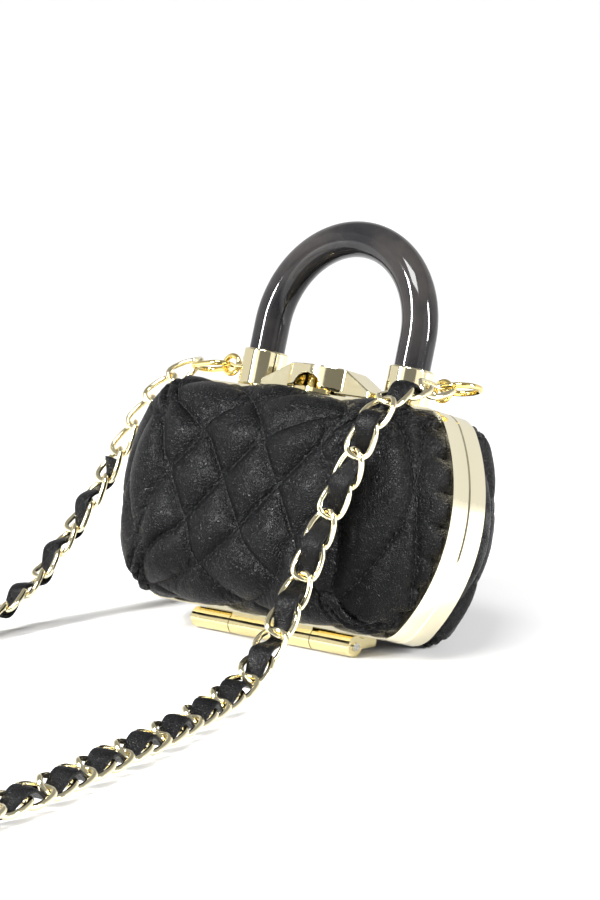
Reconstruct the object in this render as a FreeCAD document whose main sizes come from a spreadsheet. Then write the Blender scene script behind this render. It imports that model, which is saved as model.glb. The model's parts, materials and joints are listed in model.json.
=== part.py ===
import FreeCAD, Part
import math
import os
import Sketcher

# A small frame purse with two hinged halves. The bag is drawn upright in its own
# space: X across the width, Y from the front (-) to the back (+) with the seam at
# Y = 0, Z up the bag with the underside of the metal frames at Z = 0. The whole bag
# is then leant back until the hinge barrel and the back half both touch the ground.
# The chain strap is drawn directly on the ground. All sizes are millimetres.

DIMENSIONS = {
    # metal frames: one band each side of the seam
    "frame_height": 67.7,
    "side_radius": 51.2,
    "side_centre_x": 8.8,
    "side_centre_z": 34.6,
    "corner_radius": 9.4,
    "band_depth": 7.75,
    "band_wall": 4.2,
    "seam_gap": 0.1,
    "seam_chamfer": 0.35,
    # padded halves: quilted cover, hard shell and lining, one inside the other
    "cover_inset": 1.2,
    "cover_thickness": 2.95,
    "shell_thickness": 1.2,
    "lining_thickness": 0.8,
    "front_depth": 35.0,
    "front_round": 19.0,
    "front_taper": 9.0,
    "back_depth": 36.5,
    "back_round": 17.4,
    "back_taper": 11.5,
    "corner_growth": 0.12,
    "mouth_setback": 5.0,
    # bottom hinge
    "hinge_y": -2.8,
    "hinge_z": -3.3,
    "barrel_radius": 3.1,
    "barrel_half": 30.9,
    "knuckle_joint": 15.9,
    "knuckle_gap": 0.15,
    "hinge_pin_radius": 1.2,
    "hinge_clearance": 0.05,
    "hinge_pin_head": 0.7,
    "leaf_lip": 2.2,
    "leaf_gap": 0.4,
    "leaf_rest": 0.5,
    "leaf_reach": 6.4,
    "leaf_drop": 2.0,
    # handle and the two ferrules that hold its ends
    "handle_half_span": 28.3,
    "handle_y": 1.1,
    "handle_radius": 5.4,
    "handle_bend_z": 87.8,
    "ferrule_radius": 6.75,
    "ferrule_top": 79.3,
    "ferrule_lift": 0.3,
    "ferrule_edge": 0.7,
    "socket_depth": 7.0,
    "seat_half": 4.0,
    "seat_front": 4.6,
    "seat_back": 0.5,
    "screw_y": -2.6,
    "screw_radius": 1.1,
    "screw_head_radius": 2.0,
    "screw_head": 1.1,
    "screw_reach": 3.0,
    # strap eyes on the ferrules, and the loose rings in them
    "eye_x": 41.2,
    "eye_z": 74.0,
    "eye_ring": 2.8,
    "eye_wire": 0.8,
    "eye_post_radius": 1.3,
    "eye_post_bite": 0.2,
    "ring_start_x": 42.0,
    "left_ring_ring": 4.3,
    "left_ring_length": 13.0,
    "left_ring_tilt": 10.0,
    "right_ring_ring": 5.6,
    "right_ring_tilt": 12.0,
    "ring_wire": 0.85,
    # clasp
    "plate_half": 7.0,
    "plate_front": 12.0,
    "plate_thickness": 1.2,
    "plate_back": 0.6,
    "post_y": -8.2,
    "post_foot": 1.9,
    "post_head": 1.2,
    "post_height": 3.0,
    "lever_half": 21.0,
    "lever_end_z": 70.2,
    "lever_top": 75.8,
    "lever_top_half": 10.5,
    "lever_front": 7.4,
    "lever_nose": 11.8,
    "lever_back": 3.0,
    "lever_gap": 0.4,
    "lever_step": 8.0,
    "arch_radius": 5.6,
    "arch_back": 4.0,
    "arch_z": 67.4,
    "clasp_y": 5.4,
    "clasp_z": 70.6,
    "clasp_barrel": 1.9,
    "clasp_barrel_half": 10.0,
    "clasp_pin": 0.85,
    "clasp_clearance": 0.05,
    "ear_start": 10.3,
    "ear_thickness": 2.5,
    "spring_half": 3.3,
    "spring_room": 3.0,
    "spring_slack": 0.3,
    "pin_overhang": 0.3,
    "spring_radius": 1.7,
    # chain strap
    "chain_diameter": 9.0,
    "coil_x": 0.0,
    "coil_y": -232.0,
    "coil_radius": 52.0,
    "coil_height": 18.0,
    "coil_start": -50.0,
    "tie_angle": -115.0,
    "tie_width": 6.0,
    "tie_thickness": 1.0,
    # distance from the seam line on the ground to the middle of the standing bag
    "middle_y": 11.0,
}

# Centre line of the strap from the right ring, over the front, to the coil, and from
# the coil back up to the left ring, above the ground, in the standing bag's frame.
FRONT_STRAND = [
    (46.6, 3.4, 77.9),
    (46.0, -3.7, 78.6),
    (46.5, -13.1, 78.9),
    (47.5, -22.0, 77.0),
    (48.5, -30.0, 71.7),
    (46.5, -33.1, 63.8),
    (43.1, -34.1, 54.9),
    (40.1, -37.4, 46.9),
    (38.4, -41.1, 37.6),
    (38.0, -47.3, 27.8),
    (39.0, -55.5, 19.0),
    (41.0, -65.0, 11.5),
    (44.0, -76.5, 6.0),
    (48.5, -91.0, 4.5),
    (55.0, -108.0, 4.5),
    (62.3, -131.0, 4.5),
    (68.1, -156.0, 4.5),
    (75.5, -182.0, 4.5),
    (78.6, -205.0, 4.5),
    (77.0, -229.0, 4.5),
    (64.5, -244.5, 4.5),
    (49.5, -258.3, 4.5),
    (33.4, -271.8, 4.5),
]
BACK_STRAND = [
    (-52.0, -232.0, 13.5),
    (-53.0, -211.0, 11.0),
    (-57.0, -190.0, 6.0),
    (-62.5, -165.0, 4.5),
    (-65.5, -138.0, 4.5),
    (-66.0, -111.0, 4.5),
    (-67.0, -87.0, 4.5),
    (-69.0, -66.0, 5.0),
    (-70.5, -49.0, 9.5),
    (-71.6, -36.0, 18.0),
    (-71.6, -24.0, 29.0),
    (-70.8, -14.0, 40.0),
    (-69.2, -7.5, 50.0),
    (-66.6, -2.5, 58.6),
    (-64.0, 2.0, 65.2),
    (-61.8, 6.6, 69.8),
    (-58.9, 10.4, 72.6),
]

# How much of the shorter neighbouring run each bend of the strap takes up.
BEND_SHARE = 0.45

doc = FreeCAD.newDocument("purse")
sheet = doc.addObject("Spreadsheet::Sheet", "Sizes")
for row, (alias, number) in enumerate(DIMENSIONS.items(), start=1):
    sheet.set("A%d" % row, alias)
    sheet.set("B%d" % row, str(number))
    sheet.setAlias("B%d" % row, alias)
doc.recompute()


def size(alias):
    """One driving dimension, read from the sheet."""
    return float(sheet.get(alias))


def vector(x, y, z):
    return FreeCAD.Vector(x, y, z)


def placed(x=0.0, y=0.0, z=0.0, axis=(0, 0, 1), angle=0.0):
    return FreeCAD.Placement(vector(x, y, z), FreeCAD.Rotation(vector(*axis), angle))


X_AXIS = (1, 0, 0)
Y_AXIS = (0, 1, 0)

parts = []


def finish(thing, node):
    """Label a finished sub-part and put it on the list of parts to write."""
    thing.Label = node
    parts.append(thing)
    return thing


# ---------------------------------------------------------------- helpers for bodies

def new_body(node):
    return finish(doc.addObject("PartDesign::Body", "body_" + node), node)


def origin_plane(body, role):
    return next(item for item in body.Origin.OriginFeatures if item.Role == role)


def new_sketch(body, name, role, offset=None):
    """A sketch on one of the body's own planes, moved along it by a sheet formula."""
    sketch = body.newObject("Sketcher::SketchObject", name)
    sketch.AttachmentSupport = [(origin_plane(body, role), "")]
    sketch.MapMode = "FlatFace"
    if offset:
        sketch.setExpression("AttachmentOffset.Base.z", offset)
    return sketch


def dimension(sketch, name, formula, value, kind, *where):
    """A named sketch dimension that follows a formula on the sheet's cells."""
    index = sketch.addConstraint(Sketcher.Constraint(kind, *where, value))
    sketch.renameConstraint(index, name)
    sketch.setExpression("Constraints." + name, formula)


def join_ends(sketch, pairs):
    for first, first_end, second, second_end in pairs:
        sketch.addConstraint(
            Sketcher.Constraint("Coincident", first, first_end, second, second_end)
        )


def circle_on(sketch, name, centre, radius, centre_formulas, radius_formula):
    """A circle with its centre and radius bound to the sheet."""
    geo = sketch.addGeometry(Part.Circle(vector(*centre, 0), vector(0, 0, 1), radius))
    dimension(sketch, name + "_radius", radius_formula, radius, "Radius", geo)
    for kind, value, formula in zip(("DistanceX", "DistanceY"), centre, centre_formulas):
        if abs(value) < 1e-9:
            line = -2 if kind == "DistanceX" else -1
            sketch.addConstraint(Sketcher.Constraint("PointOnObject", geo, 3, line))
        elif value > 0:
            dimension(sketch, name + kind, formula, value, kind, -1, 1, geo, 3)
        else:
            dimension(sketch, name + kind, formula, -value, kind, geo, 3, -1, 1)
    return geo


def polygon_on(sketch, name, points):
    """A closed outline of straight lines. Each point is (x, y, x formula, y formula)."""
    count = len(points)
    for i in range(count):
        ax, ay = points[i][:2]
        bx, by = points[(i + 1) % count][:2]
        sketch.addGeometry(Part.LineSegment(vector(ax, ay, 0), vector(bx, by, 0)))
    join_ends(sketch, [(i, 2, (i + 1) % count, 1) for i in range(count)])
    for i, (x, y, x_formula, y_formula) in enumerate(points):
        for kind, value, formula in (("DistanceX", x, x_formula), ("DistanceY", y, y_formula)):
            label = "%s%s%d" % (name, kind[-1], i)
            if abs(value) < 1e-9:
                line = -2 if kind == "DistanceX" else -1
                sketch.addConstraint(Sketcher.Constraint("PointOnObject", i, 1, line))
            elif value > 0:
                dimension(sketch, label, formula, value, kind, -1, 1, i, 1)
            else:
                dimension(sketch, label, "-(%s)" % formula, -value, kind, i, 1, -1, 1)


def pad(body, sketch, length, reverse=False, both=False):
    feature = body.newObject("PartDesign::Pad", sketch.Name + "_pad")
    feature.Profile = sketch
    feature.Reversed = reverse
    feature.Midplane = both
    feature.setExpression("Length", length)
    sketch.Visibility = False
    return feature


def pocket(body, sketch, length, reverse=False, both=False):
    """Cut with a sketch, and check that the cut has removed something."""
    doc.recompute()
    before = body.Shape.Volume
    feature = body.newObject("PartDesign::Pocket", sketch.Name + "_cut")
    feature.Profile = sketch
    feature.Reversed = reverse
    feature.Midplane = both
    feature.setExpression("Length", length)
    doc.recompute()
    if body.Shape.Volume > before - 1e-3:
        raise RuntimeError(sketch.Name + " cuts nothing")
    return feature


def dress(body, kind, name, base, edges, formula):
    """A fillet or chamfer on the chosen edges of the feature before it."""
    feature = body.newObject("PartDesign::" + kind, name)
    feature.Base = (base, edges)
    feature.setExpression("Radius" if kind == "Fillet" else "Size", formula)
    doc.recompute()
    return feature


def edges_where(shape, test):
    return ["Edge%d" % i for i, edge in enumerate(shape.Edges, start=1) if test(edge)]


# ------------------------------------------------------------------- the metal frames

def frame_loop(sketch, name, inset, formula):
    """One loop of the frame outline: level top and base with a bowed side each way."""
    top = size("frame_height") - inset
    bow = size("side_radius") - inset
    across = size("side_centre_x")
    middle = size("side_centre_z")
    top_half = across + math.sqrt(bow**2 - (top - middle) ** 2)
    base_half = across + math.sqrt(bow**2 - (inset - middle) ** 2)
    top_angle = math.asin((top - middle) / bow)
    base_angle = math.asin((inset - middle) / bow)
    centre_right = vector(across, middle, 0)
    centre_left = vector(-across, middle, 0)
    up = vector(0, 0, 1)
    geo = sketch.GeometryCount
    sketch.addGeometry(Part.LineSegment(vector(top_half, top, 0), vector(-top_half, top, 0)))
    sketch.addGeometry(Part.LineSegment(vector(-base_half, inset, 0), vector(base_half, inset, 0)))
    sketch.addGeometry(Part.ArcOfCircle(Part.Circle(centre_right, up, bow), base_angle, top_angle))
    left = Part.Circle(centre_left, up, bow)
    sketch.addGeometry(Part.ArcOfCircle(left, math.pi - top_angle, math.pi - base_angle))
    top_line, base_line, right_arc, left_arc = range(geo, geo + 4)
    join_ends(
        sketch,
        [
            (top_line, 1, right_arc, 2),
            (top_line, 2, left_arc, 1),
            (base_line, 1, left_arc, 2),
            (base_line, 2, right_arc, 1),
        ],
    )
    sketch.addConstraint(Sketcher.Constraint("Horizontal", top_line))
    sketch.addConstraint(Sketcher.Constraint("Horizontal", base_line))
    bow_formula = "Sizes.side_radius - " + formula
    dimension(sketch, name + "_right_bow", bow_formula, bow, "Radius", right_arc)
    dimension(sketch, name + "_left_bow", bow_formula, bow, "Radius", left_arc)
    dimension(sketch, name + "_right_x", "Sizes.side_centre_x", across, "DistanceX", -1, 1, right_arc, 3)
    dimension(sketch, name + "_left_x", "Sizes.side_centre_x", across, "DistanceX", left_arc, 3, -1, 1)
    dimension(sketch, name + "_right_z", "Sizes.side_centre_z", middle, "DistanceY", -1, 1, right_arc, 3)
    dimension(sketch, name + "_left_z", "Sizes.side_centre_z", middle, "DistanceY", -1, 1, left_arc, 3)
    dimension(sketch, name + "_top", "Sizes.frame_height - " + formula, top, "DistanceY", -1, 1, top_line, 1)
    if inset:
        dimension(sketch, name + "_base", formula, inset, "DistanceY", -1, 1, base_line, 1)
    else:
        sketch.addConstraint(Sketcher.Constraint("PointOnObject", base_line, 1, -1))


def is_corner(edge, outer):
    """True for the four edges that run front to back on the outer or inner loop."""
    ends = [vertex.Point for vertex in edge.Vertexes]
    if len(ends) != 2 or abs(ends[0].y - ends[1].y) < 1.0:
        return False
    on_outer = ends[0].z < 0.1 or ends[0].z > size("frame_height") - 0.1
    return on_outer == outer


def make_frame(node, back):
    """One metal band: a ring with rounded corners and a fine chamfer at the seam."""
    body = new_body(node)
    sketch = new_sketch(body, node + "_outline", "XZ_Plane")
    frame_loop(sketch, "outer", 0.0, "0")
    frame_loop(sketch, "inner", size("band_wall"), "Sizes.band_wall")
    side = -1 if back else 1
    sketch.setExpression("AttachmentOffset.Base.z", "%d * Sizes.seam_gap" % side)
    band = pad(body, sketch, "Sizes.band_depth - Sizes.seam_gap", reverse=back)
    doc.recompute()
    outer = edges_where(band.Shape, lambda edge: is_corner(edge, True))
    rounded = dress(body, "Fillet", node + "_corners", band, outer, "Sizes.corner_radius")
    inner = edges_where(rounded.Shape, lambda edge: is_corner(edge, False))
    inner_round = "Sizes.corner_radius - Sizes.band_wall"
    hollow = dress(body, "Fillet", node + "_inner_corners", rounded, inner, inner_round)
    middle = size("frame_height") / 2
    clear = middle - size("band_wall") / 2

    def at_seam(edge):
        box = edge.BoundBox
        on_seam = max(abs(box.YMin), abs(box.YMax)) < size("seam_gap") + 0.01
        reach = max(abs(box.ZMax - middle), abs(box.ZMin - middle), box.XMax - size("barrel_half"))
        return on_seam and reach > clear and is_outer_edge(edge)

    seam = edges_where(hollow.Shape, at_seam)
    dress(body, "Chamfer", node + "_seam_edge", hollow, seam, "Sizes.seam_chamfer")
    return body


def is_outer_edge(edge):
    """True where the middle of an edge lies on the frame's outer surface."""
    point = edge.valueAt((edge.FirstParameter + edge.LastParameter) / 2)
    middle = size("side_centre_z")
    inside_wall = size("band_wall") / 2
    level = min(point.z, size("frame_height") - point.z)
    bow = math.hypot(abs(point.x) - size("side_centre_x"), point.z - middle)
    return level < inside_wall or bow > size("side_radius") - inside_wall


# -------------------------------------------------------------------- the padded halves

def outline_wire(inset, corner, y, narrower):
    """The bag's outline at one depth: smaller by an inset, and narrower at each side."""
    top = size("frame_height") - inset
    bow = size("side_radius") - inset
    across = size("side_centre_x") - narrower
    middle = size("side_centre_z")

    def corner_centre(z):
        return across + math.sqrt((bow - corner) ** 2 - (z - middle) ** 2), z

    top_x, top_z = corner_centre(top - corner)
    base_x, base_z = corner_centre(inset + corner)
    top_turn = math.atan2(top_z - middle, top_x - across)
    base_turn = math.atan2(base_z - middle, base_x - across)

    def on_arc(centre_x, centre_z, radius, angle, side):
        x = side * (centre_x + radius * math.cos(angle))
        return vector(x, y, centre_z + radius * math.sin(angle))

    edges = []
    for side in (1, -1):
        arcs = [
            (top_x, top_z, corner, math.pi / 2, top_turn),
            (across, middle, bow, top_turn, base_turn),
            (base_x, base_z, corner, base_turn, -math.pi / 2),
        ]
        for centre_x, centre_z, radius, start, end in arcs:
            ends = [on_arc(centre_x, centre_z, radius, t, side) for t in (start, (start + end) / 2, end)]
            edges.append(Part.Arc(*ends).toShape())
    base = Part.makeLine(vector(base_x, y, inset), vector(-base_x, y, inset))
    level = Part.makeLine(vector(-top_x, y, top), vector(top_x, y, top))
    loop = edges[:3] + [base] + edges[3:][::-1] + [level]
    return Part.Wire(loop)


def padded_solid(name, side, start, inset, lean):
    """A closed pillow shape: walls that draw in sideways, then a rounded edge into a flat face."""
    depth = size(name + "_depth")
    rounding = size(name + "_round")
    band = size("band_depth")
    corner = size("corner_radius") - inset

    def section(drop, round_corner, y):
        narrower = size(name + "_taper") * max(0.0, y - band) / (depth - band)
        return outline_wire(drop, round_corner, side * y, narrower)

    wires = [section(inset, corner, start)]
    if start < band:
        wires.append(section(inset, corner, band))
    curve = rounding - (inset - size("cover_inset"))
    for turn in (0.0, lean, 36.0, 54.0, 72.0, 90.0):
        angle = math.radians(turn)
        drop = size("cover_inset") + rounding - curve * math.cos(angle)
        round_corner = corner + size("corner_growth") * curve * (1 - math.cos(angle))
        wires.append(section(drop, round_corner, depth - rounding + curve * math.sin(angle)))
    return Part.makeLoft(wires, True, True)


def make_layer(name, part, side, start, inset, thickness, lean):
    """One layer of a padded half: a pillow shape hollowed out by the next one in."""
    solid = padded_solid(name, side, start, inset, lean)
    hollow = padded_solid(name, side, start - 1.0, inset + thickness, lean)
    layer = doc.addObject("Part::Feature", "layer_%s_%s" % (name, part))
    layer.Shape = solid.cut(hollow)
    return finish(layer, "%s_%s" % (name, part))


def make_half(name, side, lean):
    """Quilted cover, hard shell and lining of one half."""
    band = size("band_depth")
    mouth = size("mouth_setback")
    cover = size("cover_inset")
    shell = cover + size("cover_thickness") + size("seam_gap")
    lining = shell + size("shell_thickness")
    make_layer(name, "cover", side, band, cover, size("cover_thickness"), lean)
    make_layer(name, "shell", side, mouth, shell, size("shell_thickness"), lean)
    make_layer(name, "lining", side, mouth, lining, size("lining_thickness"), lean)


# ----------------------------------------------------------------------------- the hinge

def make_knuckle(node, start, end, leaf):
    """A length of hinge barrel with its leaf, bored for the pin."""
    body = new_body(node)
    sketch = new_sketch(body, node + "_round", "YZ_Plane", start)
    centre = (size("hinge_y"), size("hinge_z"))
    formulas = ("-Sizes.hinge_y", "-Sizes.hinge_z")
    circle_on(sketch, "barrel", centre, size("barrel_radius"), formulas, "Sizes.barrel_radius")
    length = "(%s) - (%s)" % (end, start)
    pad(body, sketch, length)
    plate = new_sketch(body, node + "_leaf", "YZ_Plane", start)
    polygon_on(plate, "leaf", leaf)
    pad(body, plate, length)
    bore = new_sketch(body, node + "_bore", "YZ_Plane", start)
    radius = size("hinge_pin_radius") + size("hinge_clearance")
    radius_formula = "Sizes.hinge_pin_radius + Sizes.hinge_clearance"
    circle_on(bore, "bore", centre, radius, formulas, radius_formula)
    pocket(body, bore, length, reverse=True)
    return body


def make_hinge():
    """Centre knuckle on the front half, two outer knuckles on the back half, one pin."""
    axis_y = size("hinge_y")
    axis_z = size("hinge_z")
    lip = size("leaf_lip")
    gap = size("leaf_gap")
    rest = size("leaf_rest")
    reach = size("leaf_reach")
    drop = size("leaf_drop")
    lip_formula = "Sizes.hinge_y - Sizes.leaf_lip"
    front_leaf = [
        (axis_y - lip, axis_z, lip_formula, "Sizes.hinge_z"),
        (-gap, axis_z, "-Sizes.leaf_gap", "Sizes.hinge_z"),
        (-gap, 0.0, "-Sizes.leaf_gap", "0"),
        (axis_y - lip, 0.0, lip_formula, "0"),
    ]
    back_leaf = [
        (axis_y, axis_z - 2 * rest, "Sizes.hinge_y", "Sizes.hinge_z - 2 * Sizes.leaf_rest"),
        (reach, -drop, "Sizes.leaf_reach", "-Sizes.leaf_drop"),
        (reach, 0.0, "Sizes.leaf_reach", "0"),
        (gap, 0.0, "Sizes.leaf_gap", "0"),
        (gap, -rest, "Sizes.leaf_gap", "-Sizes.leaf_rest"),
        (axis_y, -rest, "Sizes.hinge_y", "-Sizes.leaf_rest"),
    ]
    inner = "Sizes.knuckle_joint - Sizes.knuckle_gap"
    outer = "Sizes.knuckle_joint + Sizes.knuckle_gap"
    make_knuckle("hinge_centre_knuckle", "-(%s)" % inner, inner, front_leaf)
    make_knuckle("hinge_right_knuckle", outer, "Sizes.barrel_half", back_leaf)
    make_knuckle("hinge_left_knuckle", "-Sizes.barrel_half", "-(%s)" % outer, back_leaf)
    pin = doc.addObject("Part::Cylinder", "pin_shape")
    pin.setExpression("Radius", "Sizes.hinge_pin_radius")
    pin.setExpression("Height", "2 * (Sizes.barrel_half + Sizes.hinge_pin_head)")
    start = -size("barrel_half") - size("hinge_pin_head")
    pin.Placement = placed(start, axis_y, axis_z, Y_AXIS, 90)
    finish(pin, "hinge_pin")


# --------------------------------------------------------------- handle and ferrules

def make_handle():
    """A tube bent into a tall U whose feet stand in the ferrules."""
    body = new_body("handle")
    span = size("handle_half_span")
    foot = size("ferrule_top") - size("socket_depth")
    bend = size("handle_bend_z")
    path = new_sketch(body, "handle_path", "XZ_Plane", "-Sizes.handle_y")
    path.addGeometry(Part.LineSegment(vector(-span, foot, 0), vector(-span, bend, 0)))
    arch = Part.Circle(vector(0, bend, 0), vector(0, 0, 1), span)
    path.addGeometry(Part.ArcOfCircle(arch, 0, math.pi))
    path.addGeometry(Part.LineSegment(vector(span, bend, 0), vector(span, foot, 0)))
    join_ends(path, [(0, 2, 1, 2), (1, 1, 2, 1)])
    path.addConstraint(Sketcher.Constraint("Vertical", 0))
    path.addConstraint(Sketcher.Constraint("Vertical", 2))
    path.addConstraint(Sketcher.Constraint("PointOnObject", 1, 3, -2))
    path.addConstraint(Sketcher.Constraint("Horizontal", 1, 1, 1, 2))
    path.addConstraint(Sketcher.Constraint("Horizontal", 1, 1, 1, 3))
    dimension(path, "span", "Sizes.handle_half_span", span, "Radius", 1)
    dimension(path, "bend", "Sizes.handle_bend_z", bend, "DistanceY", -1, 1, 1, 3)
    foot_formula = "Sizes.ferrule_top - Sizes.socket_depth"
    dimension(path, "left_foot", foot_formula, foot, "DistanceY", -1, 1, 0, 1)
    dimension(path, "right_foot", foot_formula, foot, "DistanceY", -1, 1, 2, 2)
    section = new_sketch(body, "handle_section", "XY_Plane", foot_formula)
    centre = (-span, size("handle_y"))
    formulas = ("Sizes.handle_half_span", "Sizes.handle_y")
    circle_on(section, "tube", centre, size("handle_radius"), formulas, "Sizes.handle_radius")
    doc.recompute()
    pipe = body.newObject("PartDesign::AdditivePipe", "handle_tube")
    pipe.Profile = section
    pipe.Spine = (path, ["Edge1", "Edge2", "Edge3"])


def make_ferrule(node, side):
    """A polished cup for one handle foot, with a pad that seats on the front frame."""
    body = new_body(node)
    base = size("frame_height") + size("ferrule_lift")
    base_formula = "Sizes.frame_height + Sizes.ferrule_lift"
    x = side * size("handle_half_span")
    centre = (x, size("handle_y"))
    formulas = ("Sizes.handle_half_span", "Sizes.handle_y")
    cup = new_sketch(body, node + "_round", "XY_Plane", base_formula)
    circle_on(cup, "cup", centre, size("ferrule_radius"), formulas, "Sizes.ferrule_radius")
    wall = pad(body, cup, "Sizes.ferrule_top - Sizes.frame_height - Sizes.ferrule_lift")
    doc.recompute()
    rims = edges_where(wall.Shape, lambda edge: len(edge.Vertexes) == 1 or edge.isClosed())
    dress(body, "Fillet", node + "_edge", wall, rims, "Sizes.ferrule_edge")
    seat = new_sketch(body, node + "_seat", "XY_Plane", "Sizes.frame_height")
    left = x - size("seat_half")
    right = x + size("seat_half")
    front = -size("seat_front")
    back = -size("seat_back")
    left_formula = "Sizes.handle_half_span * %d - Sizes.seat_half" % side
    right_formula = "Sizes.handle_half_span * %d + Sizes.seat_half" % side
    corners = [
        (left, front, left_formula, "-Sizes.seat_front"),
        (right, front, right_formula, "-Sizes.seat_front"),
        (right, back, right_formula, "-Sizes.seat_back"),
        (left, back, left_formula, "-Sizes.seat_back"),
    ]
    polygon_on(seat, "seat", corners)
    pad(body, seat, "Sizes.ferrule_lift + Sizes.ferrule_edge")
    socket = new_sketch(body, node + "_socket", "XY_Plane", "Sizes.ferrule_top")
    circle_on(socket, "socket", centre, size("handle_radius"), formulas, "Sizes.handle_radius")
    pocket(body, socket, "Sizes.socket_depth")
    hole = new_sketch(body, node + "_hole", "XY_Plane", "Sizes.frame_height")
    hole_centre = (x, size("screw_y"))
    hole_formulas = ("Sizes.handle_half_span", "-Sizes.screw_y")
    circle_on(hole, "hole", hole_centre, size("screw_radius"), hole_formulas, "Sizes.screw_radius")
    pocket(body, hole, "Sizes.screw_reach", reverse=True)


def drill_screw_holes(frame):
    """The two clearance holes through the top of the front frame."""
    sketch = new_sketch(frame, "screw_holes", "XY_Plane", "Sizes.frame_height")
    for name, side in (("left", -1), ("right", 1)):
        centre = (side * size("handle_half_span"), size("screw_y"))
        formulas = ("Sizes.handle_half_span", "-Sizes.screw_y")
        circle_on(sketch, name, centre, size("screw_radius"), formulas, "Sizes.screw_radius")
    pocket(frame, sketch, "Sizes.band_wall + 1")


def make_screw(node, side):
    """A ferrule screw, driven from inside the front frame."""
    x = side * size("handle_half_span")
    under = size("frame_height") - size("band_wall")
    shank = doc.addObject("Part::Cylinder", node + "_shank")
    shank.setExpression("Radius", "Sizes.screw_radius")
    shank.setExpression("Height", "Sizes.band_wall + Sizes.screw_reach")
    shank.Placement = placed(x, size("screw_y"), under)
    head = doc.addObject("Part::Cylinder", node + "_head")
    head.setExpression("Radius", "Sizes.screw_head_radius")
    head.setExpression("Height", "Sizes.screw_head")
    head.Placement = placed(x, size("screw_y"), under - size("screw_head"))
    screw = doc.addObject("Part::MultiFuse", node + "_whole")
    screw.Shapes = [shank, head]
    finish(screw, node)


# ------------------------------------------------------------- strap eyes and rings

def make_torus(name, ring, wire, place):
    torus = doc.addObject("Part::Torus", name)
    torus.setExpression("Radius1", ring)
    torus.setExpression("Radius2", wire)
    torus.Placement = place
    return torus


def make_eye(node, side):
    """A soldered eye on the outer side of a ferrule: a short post and a ring."""
    eye_x = side * size("eye_x")
    place = placed(eye_x, size("handle_y"), size("eye_z"), X_AXIS, 90)
    loop = make_torus(node + "_loop", "Sizes.eye_ring", "Sizes.eye_wire", place)
    post = doc.addObject("Part::Cylinder", node + "_post")
    post.setExpression("Radius", "Sizes.eye_post_radius")
    bite = size("eye_post_bite")
    inner = size("handle_half_span") + size("ferrule_radius") - bite
    post.Height = size("eye_x") - size("eye_ring") + bite - inner
    post.Placement = placed(side * inner, size("handle_y"), size("eye_z"), Y_AXIS, 90 * side)
    eye = doc.addObject("Part::MultiFuse", node + "_whole")
    eye.Shapes = [loop, post]
    finish(eye, node)


def make_right_ring():
    """A round jump ring through the right eye, tilted up a little."""
    tilt = math.radians(size("right_ring_tilt"))
    ring = size("right_ring_ring")
    x = size("ring_start_x") + ring * math.cos(tilt)
    z = size("eye_z") + ring * math.sin(tilt)
    place = placed(x, size("handle_y"), z, Y_AXIS, -size("right_ring_tilt"))
    finish(make_torus("right_ring_loop", "Sizes.right_ring_ring", "Sizes.ring_wire", place), "right_ring")


def make_left_ring():
    """A long link through the left eye, drooping outwards."""
    ring = size("left_ring_ring")
    straight = size("left_ring_length") - 2 * ring
    pieces = []
    for end, name in ((0, "near"), (1, "far")):
        place = placed(ring + end * straight, 0, 0, (0, 0, 1), 90 - 180 * end)
        bow = make_torus("left_ring_" + name, "Sizes.left_ring_ring", "Sizes.ring_wire", place)
        bow.Angle3 = 180
        pieces.append(bow)
    for side, name in ((1, "back"), (-1, "front")):
        wire = doc.addObject("Part::Cylinder", "left_ring_" + name)
        wire.setExpression("Radius", "Sizes.ring_wire")
        wire.setExpression("Height", "Sizes.left_ring_length - 2 * Sizes.left_ring_ring")
        wire.Placement = placed(ring, side * ring, 0, Y_AXIS, 90)
        pieces.append(wire)
    link = doc.addObject("Part::MultiFuse", "left_ring_whole")
    link.Shapes = pieces
    turn = FreeCAD.Rotation(vector(0, 0, 1), 180)
    droop = FreeCAD.Rotation(vector(0, 1, 0), -size("left_ring_tilt"))
    start = vector(-size("ring_start_x"), size("handle_y"), size("eye_z"))
    link.Placement = FreeCAD.Placement(start, droop.multiply(turn))
    finish(link, "left_ring")


# ------------------------------------------------------------------------- the clasp

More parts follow.
